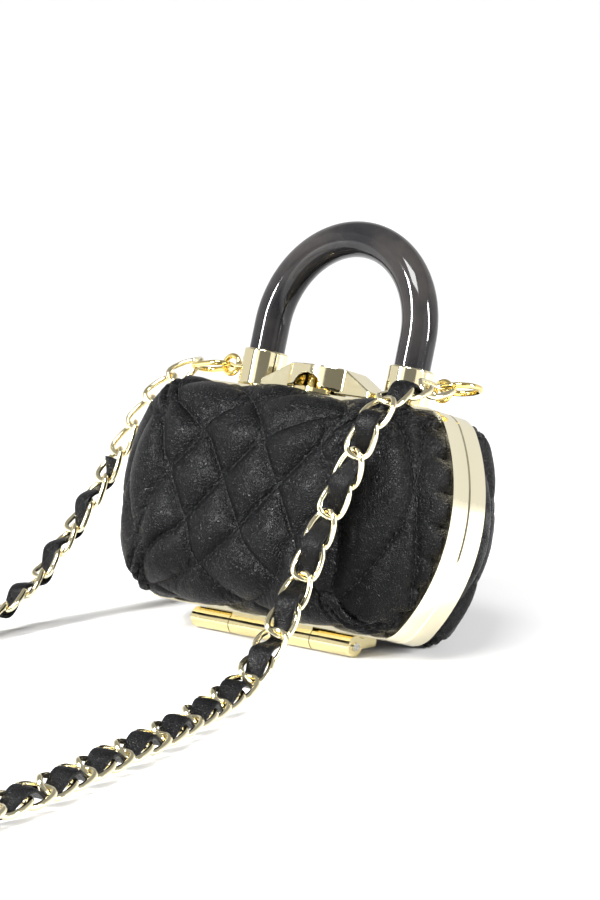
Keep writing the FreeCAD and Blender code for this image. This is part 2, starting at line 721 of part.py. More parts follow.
def make_catch():
    """The thumb ledge and the snap post, both fixed on the front frame."""
    body = new_body("catch_plate")
    sketch = new_sketch(body, "catch_outline", "XY_Plane", "Sizes.frame_height")
    half = size("plate_half")
    front = -size("plate_front")
    shoulder = -size("band_depth")
    back = -size("plate_back")
    sketch.addGeometry(Part.LineSegment(vector(half, back, 0), vector(-half, back, 0)))
    sketch.addGeometry(Part.LineSegment(vector(-half, back, 0), vector(-half, shoulder, 0)))
    nose = Part.Arc(vector(-half, shoulder, 0), vector(0, front, 0), vector(half, shoulder, 0))
    sketch.addGeometry(nose)
    sketch.addGeometry(Part.LineSegment(vector(half, shoulder, 0), vector(half, back, 0)))
    join_ends(sketch, [(0, 2, 1, 1), (1, 2, 2, 1), (2, 2, 3, 1), (3, 2, 0, 1)])
    sketch.addConstraint(Sketcher.Constraint("Horizontal", 0))
    sketch.addConstraint(Sketcher.Constraint("Vertical", 1))
    sketch.addConstraint(Sketcher.Constraint("Vertical", 3))
    sketch.addConstraint(Sketcher.Constraint("PointOnObject", 2, 3, -2))
    rise = size("plate_front") - size("band_depth")
    nose_radius = (half**2 + rise**2) / (2 * rise)
    dimension(sketch, "left", "Sizes.plate_half", half, "DistanceX", 0, 2, -1, 1)
    dimension(sketch, "right", "Sizes.plate_half", half, "DistanceX", -1, 1, 0, 1)
    dimension(sketch, "shoulder", "Sizes.band_depth", -shoulder, "DistanceY", 1, 2, -1, 1)
    dimension(sketch, "back", "Sizes.plate_back", -back, "DistanceY", 0, 1, -1, 1)
    rise_formula = "(Sizes.plate_front - Sizes.band_depth)"
    radius_formula = "(Sizes.plate_half ^ 2 + %s ^ 2) / (2 * %s)" % (rise_formula, rise_formula)
    dimension(sketch, "nose", radius_formula, nose_radius, "Radius", 2)
    pad(body, sketch, "Sizes.plate_thickness")
    post = doc.addObject("Part::Cone", "catch_post_shape")
    post.setExpression("Radius1", "Sizes.post_foot")
    post.setExpression("Radius2", "Sizes.post_head")
    post.setExpression("Height", "Sizes.post_height")
    top = size("frame_height") + size("plate_thickness")
    post.Placement = placed(0, size("post_y"), top)
    finish(post, "catch_post")


def make_lever():
    """The clasp lever: a raised block with a thumb arch, and a sloping wing each side."""
    body = new_body("clasp_lever")
    low = size("frame_height") + size("lever_gap")
    high = low + size("plate_thickness")
    half = size("lever_half")
    step = size("lever_step")
    end_z = size("lever_end_z")
    top_half = size("lever_top_half")
    top = size("lever_top")
    low_formula = "Sizes.frame_height + Sizes.lever_gap"
    high_formula = low_formula + " + Sizes.plate_thickness"
    right = [
        (step, high, "Sizes.lever_step", high_formula),
        (step, low, "Sizes.lever_step", low_formula),
        (half, low, "Sizes.lever_half", low_formula),
        (half, end_z, "Sizes.lever_half", "Sizes.lever_end_z"),
        (top_half, top, "Sizes.lever_top_half", "Sizes.lever_top"),
    ]
    left = [(-x, z, "-" + x_formula, z_formula) for x, z, x_formula, z_formula in right[::-1]]
    front = new_sketch(body, "lever_profile", "XZ_Plane", "-Sizes.lever_back")
    polygon_on(front, "lever", right + left)
    pad(body, front, "Sizes.lever_back + Sizes.lever_front")
    nose = new_sketch(body, "lever_nose_outline", "XY_Plane", high_formula)
    face = -size("lever_front")
    tip = -size("lever_nose")
    rise = size("lever_nose") - size("lever_front")
    nose.addGeometry(Part.LineSegment(vector(top_half, face, 0), vector(-top_half, face, 0)))
    nose.addGeometry(Part.Arc(vector(-top_half, face, 0), vector(0, tip, 0), vector(top_half, face, 0)))
    join_ends(nose, [(0, 2, 1, 1), (1, 2, 0, 1)])
    nose.addConstraint(Sketcher.Constraint("Horizontal", 0))
    nose.addConstraint(Sketcher.Constraint("PointOnObject", 1, 3, -2))
    dimension(nose, "half", "Sizes.lever_top_half", top_half, "DistanceX", -1, 1, 0, 1)
    dimension(nose, "face", "Sizes.lever_front", -face, "DistanceY", 0, 1, -1, 1)
    rise_formula = "(Sizes.lever_nose - Sizes.lever_front)"
    radius_formula = "(Sizes.lever_top_half ^ 2 + %s ^ 2) / (2 * %s)" % (rise_formula, rise_formula)
    nose_radius = (top_half**2 + rise**2) / (2 * rise)
    dimension(nose, "bow", radius_formula, nose_radius, "Radius", 1)
    pad(body, nose, "Sizes.lever_top - (%s)" % high_formula)
    barrel = new_sketch(body, "lever_barrel", "YZ_Plane")
    centre = (size("clasp_y"), size("clasp_z"))
    formulas = ("Sizes.clasp_y", "Sizes.clasp_z")
    circle_on(barrel, "barrel", centre, size("clasp_barrel"), formulas, "Sizes.clasp_barrel")
    pad(body, barrel, "2 * Sizes.clasp_barrel_half", both=True)
    web = new_sketch(body, "lever_web", "YZ_Plane")
    reach = size("clasp_barrel") * 0.9
    reach_formula = "Sizes.clasp_barrel * 0.9"
    inside = size("lever_back") - 1.0
    web_points = [
        (inside, size("clasp_z") - reach, "Sizes.lever_back - 1", "Sizes.clasp_z - " + reach_formula),
        (size("clasp_y"), size("clasp_z") - reach, "Sizes.clasp_y", "Sizes.clasp_z - " + reach_formula),
        (size("clasp_y"), size("clasp_z") + reach, "Sizes.clasp_y", "Sizes.clasp_z + " + reach_formula),
        (inside, size("clasp_z") + reach, "Sizes.lever_back - 1", "Sizes.clasp_z + " + reach_formula),
    ]
    polygon_on(web, "web", web_points)
    pad(body, web, "2 * Sizes.clasp_barrel_half", both=True)
    arch = new_sketch(body, "lever_arch", "XZ_Plane", "Sizes.arch_back")
    arch_centre = (0, size("arch_z"))
    arch_formulas = ("0", "Sizes.arch_z")
    circle_on(arch, "arch", arch_centre, size("arch_radius"), arch_formulas, "Sizes.arch_radius")
    pocket(body, arch, "Sizes.lever_nose", reverse=True)
    notch = new_sketch(body, "lever_notch", "YZ_Plane")
    room = size("spring_room")
    near = size("lever_back")
    far = size("clasp_y") + room
    below = size("clasp_z") - room
    above = size("clasp_z") + room
    far_formula = "Sizes.clasp_y + Sizes.spring_room"
    below_formula = "Sizes.clasp_z - Sizes.spring_room"
    above_formula = "Sizes.clasp_z + Sizes.spring_room"
    notch_points = [
        (near, below, "Sizes.lever_back", below_formula),
        (far, below, far_formula, below_formula),
        (far, above, far_formula, above_formula),
        (near, above, "Sizes.lever_back", above_formula),
    ]
    polygon_on(notch, "notch", notch_points)
    pocket(body, notch, "2 * (Sizes.spring_half + Sizes.spring_slack)", both=True)
    bore = new_sketch(body, "lever_bore", "YZ_Plane")
    radius = size("clasp_pin") + size("clasp_clearance")
    circle_on(bore, "bore", centre, radius, formulas, "Sizes.clasp_pin + Sizes.clasp_clearance")
    pocket(body, bore, "2 * Sizes.clasp_barrel_half + 1", both=True)


def make_ear(node, side):
    """A bracket on the back frame that carries one end of the clasp pin."""
    body = new_body(node)
    start = "Sizes.ear_start" if side > 0 else "-(Sizes.ear_start + Sizes.ear_thickness)"
    base = size("frame_height")
    centre = (size("clasp_y"), size("clasp_z"))
    formulas = ("Sizes.clasp_y", "Sizes.clasp_z")
    outline = new_sketch(body, node + "_foot", "YZ_Plane", start)
    radius = size("clasp_barrel")
    foot = [
        (centre[0] - radius, base, "Sizes.clasp_y - Sizes.clasp_barrel", "Sizes.frame_height"),
        (centre[0] + radius, base, "Sizes.clasp_y + Sizes.clasp_barrel", "Sizes.frame_height"),
        (centre[0] + radius, centre[1], "Sizes.clasp_y + Sizes.clasp_barrel", "Sizes.clasp_z"),
        (centre[0] - radius, centre[1], "Sizes.clasp_y - Sizes.clasp_barrel", "Sizes.clasp_z"),
    ]
    polygon_on(outline, "foot", foot)
    pad(body, outline, "Sizes.ear_thickness")
    eye = new_sketch(body, node + "_round", "YZ_Plane", start)
    circle_on(eye, "eye", centre, radius, formulas, "Sizes.clasp_barrel")
    pad(body, eye, "Sizes.ear_thickness")
    bore = new_sketch(body, node + "_bore", "YZ_Plane", start)
    circle_on(bore, "bore", centre, size("clasp_pin"), formulas, "Sizes.clasp_pin")
    pocket(body, bore, "Sizes.ear_thickness", reverse=True)


def make_clasp_pin():
    """The clasp's pin, and the spring sleeve round the middle of it."""
    reach = size("ear_start") + size("ear_thickness") + size("pin_overhang")
    pin = doc.addObject("Part::Cylinder", "clasp_pin_shape")
    pin.setExpression("Radius", "Sizes.clasp_pin")
    pin.setExpression("Height", "2 * (Sizes.ear_start + Sizes.ear_thickness + Sizes.pin_overhang)")
    pin.Placement = placed(-reach, size("clasp_y"), size("clasp_z"), Y_AXIS, 90)
    finish(pin, "clasp_pin")
    body = new_body("clasp_spring")
    coil = new_sketch(body, "spring_section", "YZ_Plane")
    centre = (size("clasp_y"), size("clasp_z"))
    formulas = ("Sizes.clasp_y", "Sizes.clasp_z")
    circle_on(coil, "outer", centre, size("spring_radius"), formulas, "Sizes.spring_radius")
    inner = size("clasp_pin") + size("clasp_clearance")
    circle_on(coil, "inner", centre, inner, formulas, "Sizes.clasp_pin + Sizes.clasp_clearance")
    pad(body, coil, "2 * Sizes.spring_half", both=True)


# ------------------------------------------------------------------- the chain strap

def strand_path(points):
    """Straight runs joined by tangent arcs as large as the two runs allow."""
    spots = [vector(*point) for point in points]
    edges = []
    radii = []
    start = spots[0]
    for before, corner, after in zip(spots, spots[1:], spots[2:]):
        into = (before - corner).normalize()
        out = (after - corner).normalize()
        turn = math.pi - into.getAngle(out)
        reach = BEND_SHARE * min((before - corner).Length, (after - corner).Length)
        radius = reach / math.tan(turn / 2)
        radii.append(radius)
        first = corner + into * reach
        last = corner + out * reach
        bisector = (into + out).normalize()
        centre = corner + bisector * (radius / math.cos(turn / 2))
        middle = centre - bisector * radius
        edges.append(Part.LineSegment(start, first).toShape())
        edges.append(Part.Arc(first, middle, last).toShape())
        start = last
    edges.append(Part.LineSegment(start, spots[-1]).toShape())
    return Part.Wire(edges), radii


def make_strand(node, points):
    """A stretch of the strap as a plain round tube."""
    path, radii = strand_path(points)
    radius = size("chain_diameter") / 2
    heading = vector(*points[1]) - vector(*points[0])
    ring = Part.Wire(Part.makeCircle(radius, vector(*points[0]), heading))
    tube = path.makePipeShell([ring], True, True)
    strand = doc.addObject("Part::Feature", "strand_" + node)
    strand.Shape = tube
    finish(strand, node)
    expected = math.pi * radius**2 * path.Length
    print(node, "length", round(path.Length, 1), "volume ratio", round(tube.Volume / expected, 4))
    print(node, "radii", [round(value, 1) for value in radii])
    return path.Length


def make_coil():
    """The put-away turns of the strap as one ring, held by a small tie."""
    ring = size("chain_diameter") / 2
    centre = placed(size("coil_x"), size("coil_y"), 0)
    shapes = []
    for name, step in (("outer", ring), ("inner", -ring)):
        drum = doc.addObject("Part::Cylinder", "coil_" + name)
        sign = "+" if step > 0 else "-"
        drum.setExpression("Radius", "Sizes.coil_radius %s Sizes.chain_diameter / 2" % sign)
        drum.setExpression("Height", "Sizes.coil_height")
        drum.Placement = centre
        shapes.append(drum)
    coil = doc.addObject("Part::Cut", "coil_whole")
    coil.Base, coil.Tool = shapes
    finish(coil, "chain_coil")
    wall = size("tie_thickness")
    angle = size("tie_angle")
    along = FreeCAD.Rotation(vector(0, 0, 1), angle)
    blocks = []
    for name, extra, low in (("outer", wall, 0.0), ("inner", 0.0, wall)):
        block = doc.addObject("Part::Box", "tie_" + name)
        block.Length = 2 * (ring + extra)
        block.setExpression("Width", "Sizes.tie_width + %d * 2" % (name == "inner"))
        block.Height = size("coil_height") + extra - low
        spread = size("tie_width") / 2 + (name == "inner")
        corner = along.multVec(vector(size("coil_radius") - ring - extra, -spread, low))
        block.Placement = FreeCAD.Placement(corner + centre.Base, along)
        blocks.append(block)
    tie = doc.addObject("Part::Cut", "tie_whole")
    tie.Base, tie.Tool = blocks
    finish(tie, "coil_tie")


# ------------------------------------------------------------------------ the assembly

def resting_lean():
    """The tilt at which a plane touches both the hinge barrel and the back half's edge."""
    rounding = size("back_round")
    across = size("back_depth") - rounding - size("hinge_y")
    up = size("cover_inset") + rounding - size("hinge_z")
    slope = math.atan2(up, across)
    gain = math.asin((rounding - size("barrel_radius")) / math.hypot(across, up))
    return math.degrees(slope - gain)


lean = resting_lean()
front_frame = make_frame("front_frame", back=False)
drill_screw_holes(front_frame)
make_frame("back_frame", back=True)
make_half("front", -1, lean)
make_half("back", 1, lean)
make_hinge()
make_handle()
for ferrule, screw, eye, way in (
    ("left_ferrule", "left_screw", "left_eye", -1),
    ("right_ferrule", "right_screw", "right_eye", 1),
):
    make_ferrule(ferrule, way)
    make_screw(screw, way)
    make_eye(eye, way)
make_left_ring()
make_right_ring()
make_catch()
make_lever()
make_ear("left_ear", -1)
make_ear("right_ear", 1)
make_clasp_pin()
bag_parts = list(parts)
front_length = make_strand("chain_front_strand", FRONT_STRAND)
back_length = make_strand("chain_back_strand", BACK_STRAND)
make_coil()
doc.recompute()

# Lean the bag back and set it on the ground, with the middle of the bag at the origin.
tilt = FreeCAD.Rotation(vector(*X_AXIS), -lean)
barrel = tilt.multVec(vector(0, size("hinge_y"), size("hinge_z")))
stand = FreeCAD.Placement(vector(0, -size("middle_y"), size("barrel_radius") - barrel.z), tilt)
for part in bag_parts:
    part.Placement = stand.multiply(part.Placement)
doc.recompute()

for thing in doc.Objects:
    if "Invalid" in thing.State or "Error" in thing.State:
        raise RuntimeError(thing.Label + " has failed")
for part in parts:
    if part.Shape.isNull() or not part.Shape.isValid():
        raise RuntimeError(part.Label + " has no valid shape")

box = bag_parts[0].Shape.BoundBox
for part in bag_parts[1:]:
    box.add(part.Shape.BoundBox)
print("lean", round(lean, 2), "bag box", box)
print("strands", round(front_length, 1), round(back_length, 1))

os.makedirs("parts", exist_ok=True)
for part in parts:
    part.Shape.exportStep("parts/%s.step" % part.Label)
    print(part.Label, len(part.Shape.Solids), round(part.Shape.Volume, 1))
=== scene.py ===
import json
import math
import random

import bmesh
import bpy
import numpy as np
from mathutils import Matrix, Vector, noise
from mathutils.bvhtree import BVHTree


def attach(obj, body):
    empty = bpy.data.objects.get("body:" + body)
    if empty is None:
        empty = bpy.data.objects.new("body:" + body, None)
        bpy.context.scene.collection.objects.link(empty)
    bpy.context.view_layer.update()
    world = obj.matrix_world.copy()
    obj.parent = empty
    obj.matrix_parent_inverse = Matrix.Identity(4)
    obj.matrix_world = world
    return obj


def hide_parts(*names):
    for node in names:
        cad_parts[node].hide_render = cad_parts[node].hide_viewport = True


# A small frame purse of black quilted leather with a polished pale gold frame, a resin
# top handle and a chain strap woven with leather. The body and its quilted covers are in
# millimetres, in the bag's own upright space (X across, Y back, Z up, seam at Y = 0,
# frame underside at Z = 0). The strap and everything else are in metres.

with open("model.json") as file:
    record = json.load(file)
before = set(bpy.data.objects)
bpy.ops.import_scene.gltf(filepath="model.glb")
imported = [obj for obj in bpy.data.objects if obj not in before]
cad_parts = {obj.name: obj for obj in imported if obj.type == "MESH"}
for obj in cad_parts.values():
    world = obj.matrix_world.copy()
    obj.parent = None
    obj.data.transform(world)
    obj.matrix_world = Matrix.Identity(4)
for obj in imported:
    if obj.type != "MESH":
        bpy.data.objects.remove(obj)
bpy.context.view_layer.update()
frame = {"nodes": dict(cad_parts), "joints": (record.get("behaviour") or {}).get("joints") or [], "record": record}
record = frame["record"]
MM = 0.001

# The upright bag's own sizes, in millimetres. A side edge is an arc of SIDE_RADIUS about
# (SIDE_X, SIDE_Z), and the covers' corners grow rounder by CORNER_GROWTH of their drop.
FRAME_HEIGHT = 67.7
SIDE_RADIUS = 51.2
SIDE_X = 8.8
SIDE_Z = 34.6
CORNER = 9.4
CORNER_GROWTH = 0.12
BAND_DEPTH = 7.75
COVER_INSET = 1.2
HINGE_Y = -2.8
HINGE_Z = -3.3


def bag_matrix():
    """From the upright bag's own space, in metres, to the leaning bag in the frame."""
    up = next(m for m in record["mounts"] if m["name"] == "carry_pull")["axis"]
    turn = Matrix.Rotation(-math.atan2(up[1], up[2]), 4, "X")
    hinge = next(j for j in frame["joints"] if j["name"] == "case_hinge")["pos_m"]
    barrel = turn @ Vector((0, HINGE_Y * MM, HINGE_Z * MM))
    return Matrix.Translation(Vector(hinge) - barrel) @ turn


BAG = bag_matrix()


def smooth(value, low, high):
    """0 below low, 1 above high, and a smooth step between them."""
    share = np.clip((np.asarray(value, float) - low) / (high - low), 0.0, 1.0)
    return share * share * (3 - 2 * share)


# ------------------------------------------------------------------------ camera

def add_camera():
    camera = bpy.data.cameras.new("camera")
    camera.lens = 130.1
    camera.sensor_width = 36
    camera.clip_start = 0.05
    camera.clip_end = 100
    holder = bpy.data.objects.new("camera", camera)
    holder.location = (0.62027, -0.71615, 0.21670)
    holder.rotation_euler = (math.radians(80.336), 0, math.radians(41.03))
    bpy.context.scene.collection.objects.link(holder)
    bpy.context.scene.camera = holder


# --------------------------------------------------------------------- mesh helpers

def mesh_object(name, points, faces, material):
    """A smooth-shaded mesh from points in metres and its faces."""
    mesh = bpy.data.meshes.new(name)
    mesh.from_pydata([tuple(p) for p in points], [], [tuple(f) for f in faces])
    mesh.materials.append(material)
    mesh.polygons.foreach_set("use_smooth", [True] * len(mesh.polygons))
    mesh.update()
    thing = bpy.data.objects.new(name, mesh)
    bpy.context.scene.collection.objects.link(thing)
    return thing


def grid_faces(rows, columns, start=0, wrap_rows=False):
    """Quads over closed rings of points stored row by row."""
    faces = []
    for i in range(rows if wrap_rows else rows - 1):
        for j in range(columns):
            a = start + i * columns + j
            b = start + i * columns + (j + 1) % columns
            below = start + ((i + 1) % rows) * columns
            faces.append((a, b, below + (j + 1) % columns, below + j))
    return faces


def apply_modifiers(thing):
    """Replaces a piece's mesh by what its modifiers make of it."""
    depsgraph = bpy.context.evaluated_depsgraph_get()
    mesh = bpy.data.meshes.new_from_object(thing.evaluated_get(depsgraph))
    thing.modifiers.clear()
    thing.data = mesh


# ------------------------------------------------------------------------ materials

class Shader:
    """A small helper that adds nodes to one material and joins them."""

    def __init__(self, name):
        self.material = bpy.data.materials.new(name)
        self.material.use_nodes = True
        self.tree = self.material.node_tree
        self.surface = self.tree.nodes["Principled BSDF"]
        self.place = self.add("ShaderNodeTexCoord").outputs["Object"]

    def add(self, kind, **settings):
        item = self.tree.nodes.new(kind)
        for key, value in settings.items():
            setattr(item, key, value)
        return item

    def join(self, output, socket):
        self.tree.links.new(output, socket)

    def fixed(self, **values):
        """Numbers and colours that are the same all over the surface."""
        for key, value in values.items():
            self.surface.inputs[key.replace("_", " ")].default_value = value

    def stretch(self, scale):
        """The object's coordinates scaled by a different amount each way."""
        mapping = self.add("ShaderNodeMapping")
        mapping.inputs["Scale"].default_value = scale
        self.join(self.place, mapping.inputs["Vector"])
        return mapping.outputs["Vector"]

    def noise(self, scale, detail=4.0, roughness=0.5, place=None):
        item = self.add("ShaderNodeTexNoise")
        item.inputs["Scale"].default_value = scale
        item.inputs["Detail"].default_value = detail
        item.inputs["Roughness"].default_value = roughness
        self.join(place or self.place, item.inputs["Vector"])
        return item.outputs["Fac"]

    def cells(self, scale, feature, place):
        item = self.add("ShaderNodeTexVoronoi", feature=feature)
        item.inputs["Scale"].default_value = scale
        self.join(place, item.inputs["Vector"])
        return item.outputs["Distance"]

    def warped(self, scale, amount):
        """The object's coordinates pushed about by a soft noise."""
        cloud = self.add("ShaderNodeTexNoise")
        cloud.inputs["Scale"].default_value = scale
        self.join(self.place, cloud.inputs["Vector"])
        push = self.add("ShaderNodeVectorMath", operation="MULTIPLY_ADD")
        push.inputs[1].default_value = (amount, amount, amount)
        self.join(cloud.outputs["Color"], push.inputs[0])
        self.join(self.place, push.inputs[2])
        return push.outputs["Vector"]

    def remap(self, value, low, high, new_low, new_high):
        item = self.add("ShaderNodeMapRange", interpolation_type="SMOOTHSTEP")
        for name, number in (
            ("From Min", low), ("From Max", high), ("To Min", new_low), ("To Max", new_high),
        ):
            item.inputs[name].default_value = number
        self.join(value, item.inputs["Value"])
        return item.outputs["Result"]

    def combine(self, operation, first, second):
        item = self.add("ShaderNodeMath", operation=operation)
        for socket, value in zip(item.inputs, (first, second)):
            if isinstance(value, (int, float)):
                socket.default_value = value
            else:
                self.join(value, socket)
        return item.outputs["Value"]

    def blend_colours(self, share, first, second):
        item = self.add("ShaderNodeMix", data_type="RGBA")
        sockets = [s for s in item.inputs if s.type == "RGBA"]
        for socket, value in zip(sockets, (first, second)):
            if isinstance(value, tuple):
                socket.default_value = (*value, 1.0)
            else:
                self.join(value, socket)
        self.join(share, item.inputs["Factor"])
        return next(s for s in item.outputs if s.type == "RGBA")

    def colour(self, output):
        self.join(output, self.surface.inputs["Base Color"])

    def roughness(self, output):
        self.join(output, self.surface.inputs["Roughness"])

    def bump(self, height, distance, strength=1.0, under=None):
        item = self.add("ShaderNodeBump")
        item.inputs["Distance"].default_value = distance
        item.inputs["Strength"].default_value = strength
        self.join(height, item.inputs["Height"])
        if under is not None:
            self.join(under, item.inputs["Normal"])
        self.join(item.outputs["Normal"], self.surface.inputs["Normal"])
        return item.outputs["Normal"]


# Two broad tints of each plating, then the tint of its worn edges. Both sets are one plating; the second set is
# painted a deeper yellow to stand for light bounced between gold parts, a painted reflection.
PALE_GOLD = ((0.92, 0.82, 0.52), (0.94, 0.86, 0.59), (0.96, 0.89, 0.66))
BOUNCE_PAINTED_GOLD = ((0.9, 0.68, 0.22), (0.93, 0.75, 0.32), (0.95, 0.82, 0.45))


def gold(name, tints, roughness=0.06):
    """Gold plating: polished, with hairline scratches and faint handling marks."""
    shader = Shader(name)
    shader.fixed(Metallic=1.0)
    broad = shader.noise(60, 3)
    tint = shader.blend_colours(shader.remap(broad, 0.35, 0.7, 0, 1), tints[0], tints[1])
    worn = shader.add("ShaderNodeNewGeometry").outputs["Pointiness"]
    edge = shader.remap(worn, 0.52, 0.62, 0, 1)
    shader.colour(shader.blend_colours(edge, tint, tints[2]))
    lines = shader.noise(900, 2, 0.6, shader.stretch((0.08, 1.0, 1.6)))
    marks = shader.remap(shader.noise(220, 5, 0.65), 0.5, 0.75, 0, 0.09)
    hair = shader.remap(lines, 0.45, 0.8, 0, 0.05)
    base = shader.combine("ADD", shader.combine("ADD", marks, hair), roughness)
    shader.roughness(base)
    ripple = shader.bump(shader.noise(45, 2), 0.00025, 0.35)
    shader.bump(lines, 0.00002, 0.35, ripple)
    return shader.material


def resin():
    """Black cast resin buffed to a high gloss, with faint swirls and fine polishing lines."""
    shader = Shader("handle_resin_gloss")
    swirl = shader.noise(28, 5, 0.6, shader.warped(14, 0.02))
    share = shader.remap(swirl, 0.42, 0.72, 0, 1)
    shader.colour(shader.blend_colours(share, (0.006, 0.006, 0.007), (0.02, 0.018, 0.017)))
    shader.fixed(IOR=1.37)
    lines = shader.noise(700, 3, 0.6, shader.stretch((1.0, 1.0, 0.12)))
    shader.roughness(shader.remap(lines, 0.3, 0.8, 0.04, 0.12))
    shader.bump(shader.noise(90, 2), 0.00012, 0.3)
    return shader.material


# The darker colour is painted shade in the grain's valleys; the lighter one is the colour of the crowns.
LEATHER_DARK = (0.0012, 0.0012, 0.0014)
LEATHER_LIGHT = (0.0035, 0.0035, 0.0039)


def leather(name, pebble=0.0008, depth=0.00015):
    """Black coated leather with a pebbled grain; the crowns of the grain are shinier, and its valleys are painted
    darker as shade.
    """
    shader = Shader(name)
    place = shader.warped(420, 0.0012)
    edge = shader.cells(1 / pebble, "DISTANCE_TO_EDGE", place)
    crown = shader.remap(edge, 0.0, 0.32, 0, 1)
    fine = shader.cells(2.9 / pebble, "F1", place)
    cloud = shader.noise(95, 4, 0.6)
    # The grain's valleys get the darker colour: painted shade, mixed with a random cloud of tone.
    tone = shader.combine("MULTIPLY", crown, shader.remap(cloud, 0.25, 0.75, 0.45, 1.0))
    shader.colour(shader.blend_colours(tone, LEATHER_DARK, LEATHER_LIGHT))
    rough = shader.combine(
        "ADD", shader.remap(crown, 0, 1, 0.42, 0.24), shader.remap(cloud, 0.3, 0.7, -0.03, 0.06)
    )
    shader.roughness(rough)
    shader.fixed(IOR=1.5, Specular_IOR_Level=0.085)
    creases = shader.bump(crown, depth, 0.9)
    shader.bump(fine, depth * 0.25, 0.5, creases)
    return shader.material


def lining_cloth():
    """Black woven lining: a fine twill with slightly varied threads."""
    shader = Shader("lining_twill")
    across = shader.add("ShaderNodeTexWave", bands_direction="DIAGONAL")
    across.inputs["Scale"].default_value = 900
    across.inputs["Distortion"].default_value = 0.6
    shader.join(shader.place, across.inputs["Vector"])
    threads = across.outputs["Fac"]
    cloud = shader.noise(120, 4)
    tone = shader.combine("MULTIPLY", threads, shader.remap(cloud, 0.2, 0.8, 0.6, 1.0))
    shader.colour(shader.blend_colours(tone, (0.018, 0.018, 0.021), (0.06, 0.06, 0.066)))
    shader.roughness(shader.remap(cloud, 0.2, 0.8, 0.62, 0.85))
    shader.fixed(Sheen_Weight=0.35, Sheen_Roughness=0.4)
    shader.bump(threads, 0.00008, 0.7)
    return shader.material


def board():
    """Moulded grey fibre board, slightly mottled."""
    shader = Shader("shell_fibre_board")
    speck = shader.noise(1400, 5, 0.7)
    shader.colour(shader.blend_colours(speck, (0.055, 0.053, 0.05), (0.11, 0.105, 0.1)))
    shader.roughness(shader.remap(speck, 0.2, 0.8, 0.7, 0.95))
    shader.bump(speck, 0.00008, 0.6)
    return shader.material


def steel():
    """Plain turned steel with fine tool lines."""
    shader = Shader("turned_steel")
    shader.fixed(Metallic=1.0)
    lines = shader.noise(2600, 2, 0.6, shader.stretch((0.15, 1.0, 1.0)))
    shader.colour(shader.blend_colours(lines, (0.5, 0.5, 0.5), (0.68, 0.68, 0.67)))
    shader.roughness(shader.remap(lines, 0.3, 0.7, 0.22, 0.38))
    shader.bump(lines, 0.00002, 0.4)
    return shader.material


def thread():
    """Black waxed sewing thread with its twist."""
    shader = Shader("sewing_thread")
    twist = shader.noise(3500, 2)
    shader.colour(shader.blend_colours(twist, (0.003, 0.003, 0.003), (0.008, 0.008, 0.008)))
    shader.roughness(shader.remap(twist, 0.3, 0.7, 0.4, 0.6))
    shader.fixed(Specular_IOR_Level=0.15)
    shader.bump(twist, 0.00004, 0.5)
    return shader.material


# --------------------------------------------------------------------- chain strap

# The strap's route in metres: from the right ring over the front of the bag to the
# put-away coil, and from the coil back up to the left ring.
FRONT_STRAND = [
    (0.0466, 0.0034, 0.0779),
    (0.0460, -0.0037, 0.0786),
    (0.0465, -0.0131, 0.0789),
    (0.0475, -0.0220, 0.0770),
    (0.0485, -0.0300, 0.0717),
    (0.0465, -0.0331, 0.0638),
    (0.0431, -0.0341, 0.0549),
    (0.0401, -0.0374, 0.0469),
    (0.0384, -0.0411, 0.0376),
    (0.0380, -0.0473, 0.0278),
    (0.0390, -0.0555, 0.0190),
    (0.0410, -0.0650, 0.0115),
    (0.0440, -0.0765, 0.0060),
    (0.0485, -0.0910, 0.0045),
    (0.0550, -0.1080, 0.0045),
    (0.0623, -0.1310, 0.0045),
    (0.0681, -0.1560, 0.0045),
    (0.0755, -0.1820, 0.0045),
    (0.0786, -0.2050, 0.0045),
    (0.0770, -0.2290, 0.0045),
    (0.0645, -0.2445, 0.0045),
    (0.0495, -0.2583, 0.0045),
    (0.0334, -0.2718, 0.0045),
]
BACK_STRAND = [
    (-0.0520, -0.2320, 0.0135),
    (-0.0530, -0.2110, 0.0110),
    (-0.0570, -0.1900, 0.0060),
    (-0.0625, -0.1650, 0.0045),
    (-0.0655, -0.1380, 0.0045),
    (-0.0660, -0.1110, 0.0045),
    (-0.0670, -0.0870, 0.0045),
    (-0.0690, -0.0660, 0.0050),
    (-0.0705, -0.0490, 0.0095),
    (-0.0716, -0.0360, 0.0180),
    (-0.0716, -0.0240, 0.0290),
    (-0.0708, -0.0140, 0.0400),
    (-0.0692, -0.0075, 0.0500),
    (-0.0666, -0.0025, 0.0586),
    (-0.0640, 0.0020, 0.0652),
    (-0.0618, 0.0066, 0.0698),
    (-0.0589, 0.0104, 0.0726),
]
CHAIN_DIAMETER = 0.009
COIL_CENTRE = Vector((0.0, -0.232, 0.0))
COIL_RADIUS = 0.052
COIL_START = -50.0
COIL_SWEEP = 490.0
COIL_STEPS = 22
COIL_CLIMB = (250.0, 350.0)

# From flat to hanging between these heights, but only past this Y: the coil stays flat.
HANGING_HEIGHTS = (0.008, 0.035)
HANGING_FROM = -0.15

LINK_PITCH = 0.0095
LINK_HALF_LENGTH = 0.0057
LINK_HALF_WIDTH = 0.0037
LINK_TWIST = 0.00098
LINK_STEPS = 48
LINK_ROUNDNESS = (0.82, 0.85)
WIRE_RADIUS = 0.00088
WIRE_SIDES = 10
FIRST_LINK_OVER = 0.0047
LAST_LINK_OVER = 0.0058
LINK_JITTER = 5

# Degrees that the strap is rolled about its own line.
HANGING_ROLL = -12
FLOOR_ROLL = -25
RIBBON_FLOOR_ROLL = -5

# The ribbon rises over every second joint of the links and dips under the others.
RIBBON_HALF_WIDTH = 0.0033
RIBBON_THICKNESS = 0.0012
RIBBON_RISE = 0.0023
RIBBON_START = 0.0085
RIBBON_STOP = 0.036
RIBBON_STEP = 0.0007
RIBBON_REACH = 0.004
RIBBON_WIDTHS = (0.86, 0.14)
RIBBON_SIDES = 20
RIBBON_CROWN = 0.0003
RIBBON_TILT = 5
RIBBON_TILT_SCALE = 60

